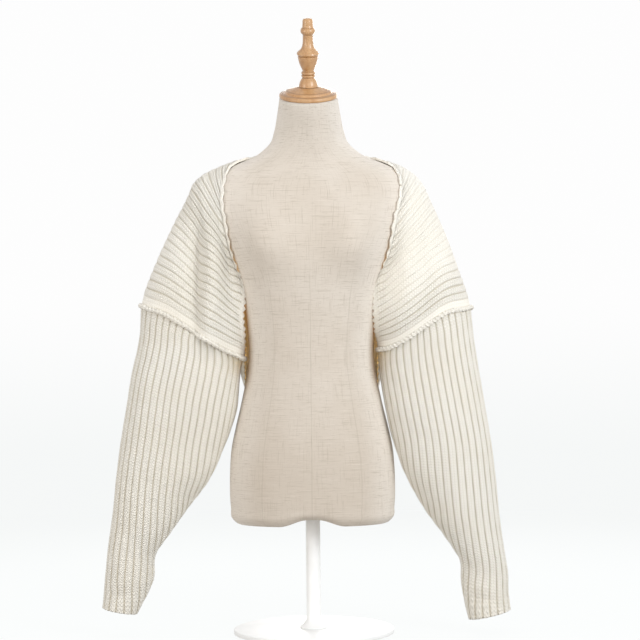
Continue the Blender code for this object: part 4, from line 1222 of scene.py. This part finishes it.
def linen_finish():
    """Slubbed linen whose map runs in millimetres round the form and up it."""
    made, shader, place = new_finish(
        "beige linen cover", {"Roughness": 0.88, "Sheen Weight": 0.1, "Emission Strength": 1.0})
    flat = place.node("ShaderNodeTexCoord", out="UV")
    across, up = flat.axis("X"), flat.axis("Y")
    around = across.size()
    slub_up = flat.streaks((0.55, 0.020, 1), 3.0, 0.65)
    slub_across = flat.streaks((0.018, 0.60, 1), 3.0, 0.65)
    short = flat.streaks((0.06, 0.85, 1), 2.0, 0.6)
    threads = (across * (2 * math.pi / THREAD)).sine() * (up * (2 * math.pi / THREAD)).sine()
    # Painted warm shade and glow on the form's sides beside the arms.
    arm_glow_and_shade = (around - SIDE_SEAM).size().ramp(48.0, 4.0) * up.ramp(395.0, 450.0) * up.ramp(640.0, 570.0)
    seam = around.on_lines(FORM_SEAMS, 1.6, 0.3) * up.ramp(690.0, 560.0)
    colour = laid_over(place.noise(7.0).ramp(0.3, 0.7).blend(LINEN_LIGHT, LINEN_DARK), (
        # painted shade, darker towards the hem
        (up.ramp(640.0, 230.0) * 0.45, LINEN_PAINTED_SHADE_LOW),
        (up.ramp(780.0, 880.0) * 0.40, LINEN_PALE_AND_PAINTED_LIGHT),             # painted light towards the neck
        (around.ramp(90.0, 180.0) * 0.75, LINEN_PALE_AND_PAINTED_LIGHT),          # and painted light on the sides
        (slub_up.ramp(0.55, 0.70) * 0.55, LINEN_THREAD),
        (slub_across.ramp(0.54, 0.70) * 0.6, LINEN_THREAD),
        (slub_across.ramp(0.44, 0.28) * 0.35, LINEN_PALE_AND_PAINTED_LIGHT),
        (short.ramp(0.60, 0.72) * 0.7, LINEN_THREAD),
        (arm_glow_and_shade * 0.85, LINEN_PAINTED_GLOW_AND_SHADE),
        (seam * 0.22, LINEN_THREAD),
    ))
    height = threads * 0.25 + slub_up * 0.5 + slub_across * 0.5 - seam * 1.2
    finish_with(shader, colour, height, LINEN_BUMP, glow=arm_glow_and_shade.blend(BLACK, LINEN_GLINT))
    return made


linen = linen_finish()
print("form finish:", linen.name)

# %% Torso mesh
FORM_COLUMNS = 144
FORM_ROWS = 150
UNDERSIDE = (0.97, 0.94, 0.8, 0.6, 0.38, 0.17, 0.02)    # its rings' sizes, from the rim in
GAUGE_HEIGHT = 690.0                                    # where the map round the form is measured


def neck_tilt(y, z):
    """Height after the neck's top is tilted forward."""
    share = smooth_step((z - NECK_TILT_FROM) / (FORM_SECTIONS[-1, 0] - NECK_TILT_FROM))
    middle = row_at(FORM_SECTIONS, z)[:, 3]
    return z + share * math.tan(math.radians(NECK_TILT_DEG)) * (y - middle)


def under_arch(x):
    """How far the form's underside rises between the legs."""
    near = np.clip((np.abs(x) - ARCH["flat"]) / (ARCH["half_width"] - ARCH["flat"]), 0.0, 1.0)
    return ARCH["rise"] * 0.5 * (1 + np.cos(math.pi * near))


def form_ring(height, shrink=1.0):
    """One section of the form, from centre back round to centre back."""
    half, front, behind, middle, square = row_at(FORM_SECTIONS, height)[0]
    turn = np.linspace(0.5 * math.pi, 2.5 * math.pi, FORM_COLUMNS, endpoint=False)
    c, s = np.cos(turn), np.sin(turn)
    x = shrink * half * np.sign(c) * np.abs(c) ** (2 / square)
    y = shrink * np.where(s > 0, behind, front) * np.sign(s) * np.abs(s) ** (2 / square)
    z = np.full_like(x, height)
    y = np.where(s < 0, y - bust_rise(x, z) * np.abs(s), y) + middle
    return np.stack([x, y, neck_tilt(y, z)], axis=1)


def torso_rings():
    """Rings from the middle of the underside, up the form and in over the neck's top."""
    lowest, top = FORM_SECTIONS[[0, -1], 0]
    close = lowest + np.array([1.0, 2.5, 4.0])
    heights = np.unique(np.concatenate([np.linspace(lowest, top, FORM_ROWS), close]))
    floor = [form_ring(lowest, shrink) for shrink in UNDERSIDE]
    for k, ring in enumerate(floor):
        ring[:, 2] = lowest - (2.0 if k else 1.5)
    lid = [form_ring(top, 0.6), form_ring(top, 0.02)]
    rings = floor[::-1] + [form_ring(height) for height in heights] + lid
    for ring in rings:
        near_floor = np.clip((lowest + ARCH["reach"] - ring[:, 2]) / ARCH["reach"], 0, 1)
        ring[:, 2] += under_arch(ring[:, 0]) * near_floor
    return rings


def build_torso():
    """The form as one closed shape, with its map measured round the bust."""
    gauge = form_ring(GAUGE_HEIGHT)
    lengths = np.linalg.norm(np.roll(gauge, -1, axis=0) - gauge, axis=1)
    around = np.concatenate([[0], np.cumsum(lengths)]) - lengths.sum() / 2
    rings = torso_rings()
    rows = [ring_corners(k * FORM_COLUMNS, FORM_COLUMNS, around, np.append(ring[:, 2], ring[0, 2]))
            for k, ring in enumerate(rings)]
    count = len(rings) * FORM_COLUMNS
    lids = (range(count - 1, count - FORM_COLUMNS - 1, -1), range(FORM_COLUMNS))
    faces = [face[::-1] for face in sheet_faces(rows)]
    faces += [[(vertex, (0.0, 0.0)) for vertex in lid] for lid in lids]
    print("once round the bust in mm:", round(float(lengths.sum()), 1))
    return make_piece("linen_torso", np.concatenate(rings), faces, linen)


linen_torso = build_torso()

# %% [markdown]
# ## Turned wood
# The cap and the finial are turned on a lathe from one honey-coloured beech blank and oiled.
# The grain runs up the blank, so it shows as long streaks on the sides and as rings on the
# shoulders. A lathe shape is a profile spun round. Smooth shading rounds it between the turner's
# marks, and edges that turn sharply stay crisp.

# %% Wood shader
WOOD_LIGHT = (0.585, 0.335, 0.150, 1)
WOOD_DARK = (0.475, 0.240, 0.092, 1)
WOOD_PALE = (0.63, 0.39, 0.195, 1)
WOOD_FLECK = (0.36, 0.18, 0.07, 1)
WOOD_LINE_SHADE = (0.26, 0.12, 0.04, 1)       # painted shade in the turned lines
WOOD_BUMP = 0.12
TURNED_LINES = (1.0, 7.8, 12.6, 19.0, 35.5, 40.5, 45.8, 72.9, 110.0, 121.8)     # heights in millimetres


def wood_finish():
    """Oiled beech with its grain up the blank."""
    made, shader, place = new_finish(
        "oiled honey beech", {"Roughness": 0.42, "Coat Weight": 0.5, "Coat Roughness": 0.25})
    streak = place.streaks((150.0, 150.0, 9.0), 4.0, 0.6)
    fleck = place.streaks((520.0, 520.0, 60.0), 2.0)
    broad = place.streaks((28.0, 28.0, 5.0), 2.0)
    line = place.node("ShaderNodeTexCoord", out="UV").axis("Y").on_lines(TURNED_LINES, 1.1, 0.2)
    colour = laid_over(streak.ramp(0.32, 0.68).blend(WOOD_LIGHT, WOOD_DARK), (
        (broad.ramp(0.4, 0.65) * 0.5, WOOD_PALE),
        (fleck.ramp(0.60, 0.72) * 0.5, WOOD_FLECK),
        # painted shade in the turned lines
        (line * 0.5, WOOD_LINE_SHADE),
    ))
    finish_with(shader, colour, streak * 0.4 + fleck * 0.4, WOOD_BUMP, roughness=streak * 0.12 + 0.30)
    return made


wood = wood_finish()
print("turned wood:", wood.name, "with", len(TURNED_LINES), "turned lines")

# %% Turned pieces
# Radius and height pairs up the axis, in millimetres over the neck's top
CAP_PROFILE = [
    (0.0, 0.3), (49.0, 0.3), (50.6, 1.0), (51.0, 2.6), (50.9, 5.0), (50.0, 6.6), (48.5, 7.5), (44.0, 8.2),
    (41.0, 9.0), (40.3, 10.4), (39.5, 11.8), (36.0, 13.2), (32.0, 14.6), (27.0, 16.1), (22.0, 17.4),
    (19.0, 18.5), (17.0, 19.0), (0.0, 19.0),
]
FINIAL_PROFILE = [
    (0.0, 19.3), (16.5, 19.3), (16.4, 21.0), (16.0, 23.0), (14.5, 28.5), (12.6, 31.6), (11.0, 34.0),
    (10.2, 35.5), (11.8, 36.6), (12.2, 38.0), (11.8, 39.4), (10.2, 40.5), (11.8, 41.6), (12.2, 43.0),
    (11.8, 44.6), (9.8, 46.2), (10.6, 49.0), (12.5, 52.8), (14.4, 57.4), (16.0, 62.2), (17.2, 67.0),
    (18.0, 71.7), (16.8, 73.1), (18.6, 74.6), (19.6, 76.8), (19.0, 79.2), (16.4, 81.8), (13.5, 84.0),
    (11.4, 87.0), (10.0, 90.5), (9.0, 98.0), (8.8, 108.4), (9.2, 110.3), (11.2, 112.0), (12.4, 114.0),
    (12.8, 117.0), (12.0, 119.8), (10.4, 121.6), (9.5, 122.8), (9.2, 128.0), (8.9, 134.0), (8.3, 136.0),
    (6.6, 137.4), (3.6, 138.0), (0.0, 138.2),
]
TURNED_SEGMENTS = 72
TURNED_MAP = 20.0       # how far the map runs for each radian
CRISP_DEG = 38          # edges that turn more than this stay crisp


def turned_piece(name, profile, finish, middle=(0.0, 0.0, 0.0), tilt=0.0):
    """A lathe shape from radius and height pairs that start and end on the axis."""
    turns = np.linspace(0, 2 * math.pi, TURNED_SEGMENTS + 1)
    lean = np.array(Matrix.Rotation(tilt, 3, "X"))
    points, rows = [], []
    for radius, height in profile:
        ring = turns[:-1] if radius else turns[:1]
        rows.append(ring_corners(len(points), len(ring), turns * TURNED_MAP, np.full(len(turns), height)))
        points += [lean @ (radius * math.cos(a), radius * math.sin(a), height) + middle for a in ring]
    piece = make_piece(name, points, [face[::-1] for face in sheet_faces(rows[::-1])], finish)
    piece.data.set_sharp_from_angle(angle=math.radians(CRISP_DEG))
    return piece


neck_seat = np.array([0.0, FORM_SECTIONS[-1, 4], FORM_SECTIONS[-1, 0]])
neck_lean = math.radians(NECK_TILT_DEG)
wood_cap = turned_piece("wood_cap", CAP_PROFILE, wood, neck_seat, neck_lean)
wood_finial = turned_piece("wood_finial", FINIAL_PROFILE, wood, neck_seat, neck_lean)

# %% [markdown]
# ## The stand
# The form stands on a steel tube and a round plate, sprayed in the same pale satin paint, with
# the faint orange-peel texture that sprayed paint has. Both take their size from the packed
# solids, and are turned shapes like the wood.

# %% Stand
PAINT = (0.93, 0.93, 0.92, 1)
PAINT_WORN = (0.89, 0.89, 0.875, 1)
PAINT_BUMP = 0.10
TUBE = 12.5             # radius of the pole
COLLAR = 24.0           # and of the collar at its foot


def paint_finish():
    """Satin spray paint, a little duller where it is handled."""
    made, shader, place = new_finish("pale satin paint", {"Roughness": 0.4})
    peel = place.noise(420.0, 2.0)
    wear = place.noise(16.0, 4.0)
    colour = wear.ramp(0.35, 0.75).blend(PAINT, PAINT_WORN)
    finish_with(shader, colour, peel, PAINT_BUMP, roughness=wear * 0.16 + 0.32)
    return made


def build_stand(paint):
    """The plate with its rounded edge, and the pole with the collar that holds it."""
    foot, top = (corner[2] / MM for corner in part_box("stand_pole"))
    edge, thick = (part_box("stand_base")[1][axis] / MM for axis in (0, 2))
    base = [(0.0, 0.0), (edge - 1.2, 0.0), (edge - 0.3, 0.4), (edge, 1.2), (edge, thick - 2.6),
            (edge - 0.8, thick - 0.9), (edge - 2.6, thick), (40.0, thick), (0.0, thick)]
    pole = [(0.0, foot), (COLLAR, foot), (COLLAR, foot + 2.2), (23.2, foot + 3.2), (18.5, foot + 6.5),
            (15.6, foot + 10.5), (13.4, foot + 13.2), (TUBE, foot + 16.0), (TUBE, top), (0.0, top)]
    return turned_piece("painted_base", base, paint), turned_piece("painted_pole", pole, paint)


painted_base, painted_pole = build_stand(paint_finish())

# %% [markdown]
# ## The studio
# A floor of white paper curves up into a wall all round the form, so that no horizon shows. It
# glows evenly by itself, and takes light from the lamps only near the stand, so that they leave
# no edge on it. The strongest of the lights in front stands at the right, so the sleeve there
# is bright and nearly without shadow, and the other one shows its grooves. The light behind
# the form rims its edges and the cloth that turns away.

# %% Paper
PAPER_ROUND = 6000.0    # radius of the whole floor
PAPER_BEND = 1400.0     # and of the curve into the wall
PAPER_TALL = 5000.0
PAPER_LOW = -0.5        # just under the stand
PAPER_LIT = (0.05, 0.05, 0.05, 1)
PAPER_GLOW_LOW = (0.915, 0.935, 0.93, 1)
PAPER_GLOW_HIGH = (1.0, 1.0, 1.0, 1)


def paper_finish():
    """Paper that glows, a little cooler on the floor, and is lit only within 2 metres of the form."""
    made, shader, place = new_finish(
        "white paper", {"Roughness": 0.9, "Emission Strength": 0.985, "Specular IOR Level": 0.0})
    away = place.node("ShaderNodeVectorMath", {"operation": "LENGTH"}, out=1, i0=place)
    glow = place.axis("Z").ramp(-0.3, 0.7).blend(PAPER_GLOW_LOW, PAPER_GLOW_HIGH)
    finish_with(shader, away.ramp(2.2, 0.8).blend(BLACK, PAPER_LIT), glow=glow)
    return made


def paper_sweep():
    """Paper all round the form: a floor that curves up into a wall."""
    flat_to = PAPER_ROUND - PAPER_BEND
    line = [(radius, PAPER_LOW) for radius in (0.0, 1500.0, 3000.0, flat_to)]
    for turn in np.linspace(0, 0.5 * math.pi, 14)[1:]:
        line.append((flat_to + PAPER_BEND * math.sin(turn), PAPER_BEND * (1 - math.cos(turn))))
    line.append((PAPER_ROUND, PAPER_TALL))
    sweep = turned_piece("white_paper", line, paper_finish())
    sweep.visible_diffuse = False
    return sweep


paper = paper_sweep()

# %% Lights and world
LIGHTS = [
    # name, place and what it faces in metres, size, watts, colour
    ("key from the front right", (2.1, -2.1, 1.4), (0.0, 0.0, 0.75), 1.2, 46.0, (0.93, 0.965, 1.0)),
    ("fill from the left", (-2.6, -2.0, 0.5), (0.0, 0.0, 0.6), 1.8, 31.0, (1.0, 0.955, 0.90)),
    ("front", (0.2, -3.4, 1.1), (0.0, 0.0, 0.75), 2.0, 15.0, (1.0, 0.985, 0.97)),
    ("back", (0.8, 3.4, 1.6), (0.0, 0.0, 0.6), 2.2, 66.0, (1.0, 0.985, 0.965)),
    ("top", (0.0, -0.4, 2.9), (0.0, 0.0, 0.5), 1.6, 5.0, (1.0, 0.98, 0.95)),
]
SKY_LOW = (0.56, 0.54, 0.51, 1)
SKY_HIGH = (0.90, 0.91, 0.93, 1)
SKY_STRENGTH = 0.77


def soft_light(name, place, aim, size, watts, colour):
    """A square lamp that isn't seen itself."""
    lamp = bpy.data.lights.new(name, "AREA")
    lamp.shape = "SQUARE"
    lamp.size = size
    lamp.energy = watts
    lamp.color = colour
    made = bpy.data.objects.new(name, lamp)
    made.location = place
    made.rotation_euler = (Vector(place) - Vector(aim)).to_track_quat("Z", "Y").to_euler()
    made.visible_camera = False
    bpy.context.scene.collection.objects.link(made)


def pale_world():
    """Light from all round, warmer from below."""
    world = bpy.data.worlds.new("studio")
    world.use_nodes = True
    sky = world.node_tree.nodes["Background"]
    up = Wire(world.node_tree).node("ShaderNodeTexCoord", out="Generated").axis("Z")
    up.feed(sky.inputs["Color"], up.ramp(-0.9, 0.9).blend(SKY_LOW, SKY_HIGH))
    sky.inputs["Strength"].default_value = SKY_STRENGTH
    bpy.context.scene.world = world


for light in LIGHTS:
    soft_light(*light)
pale_world()
print("soft lights:", len(LIGHTS), "with", sum(light[4] for light in LIGHTS), "watts in all")

# %% [markdown]
# ## Fitting the pieces to the frame
# Each piece is hung from the root body, and the solid of the imported model that it stands for is hidden.

# %% Hanging the pieces and hiding their solids
for piece, node, slot in (
    (knit_body, "body_panel", "rib_knit"),
    (knit_sleeves["right"], "sleeve_right", "rib_knit"),
    (knit_sleeves["left"], "sleeve_left", "rib_knit"),
    (knit_rolls["right"], "seam_roll_right", "rib_knit"),
    (knit_rolls["left"], "seam_roll_left", "rib_knit"),
    (linen_torso, "form_torso", "linen_cover"),
    (wood_cap, "neck_cap", "wood"),
    (wood_finial, "finial", "wood"),
    (painted_pole, "stand_pole", "pale_paint"),
    (painted_base, "stand_base", "pale_paint"),
):
    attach(piece, "root")
    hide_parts(node)
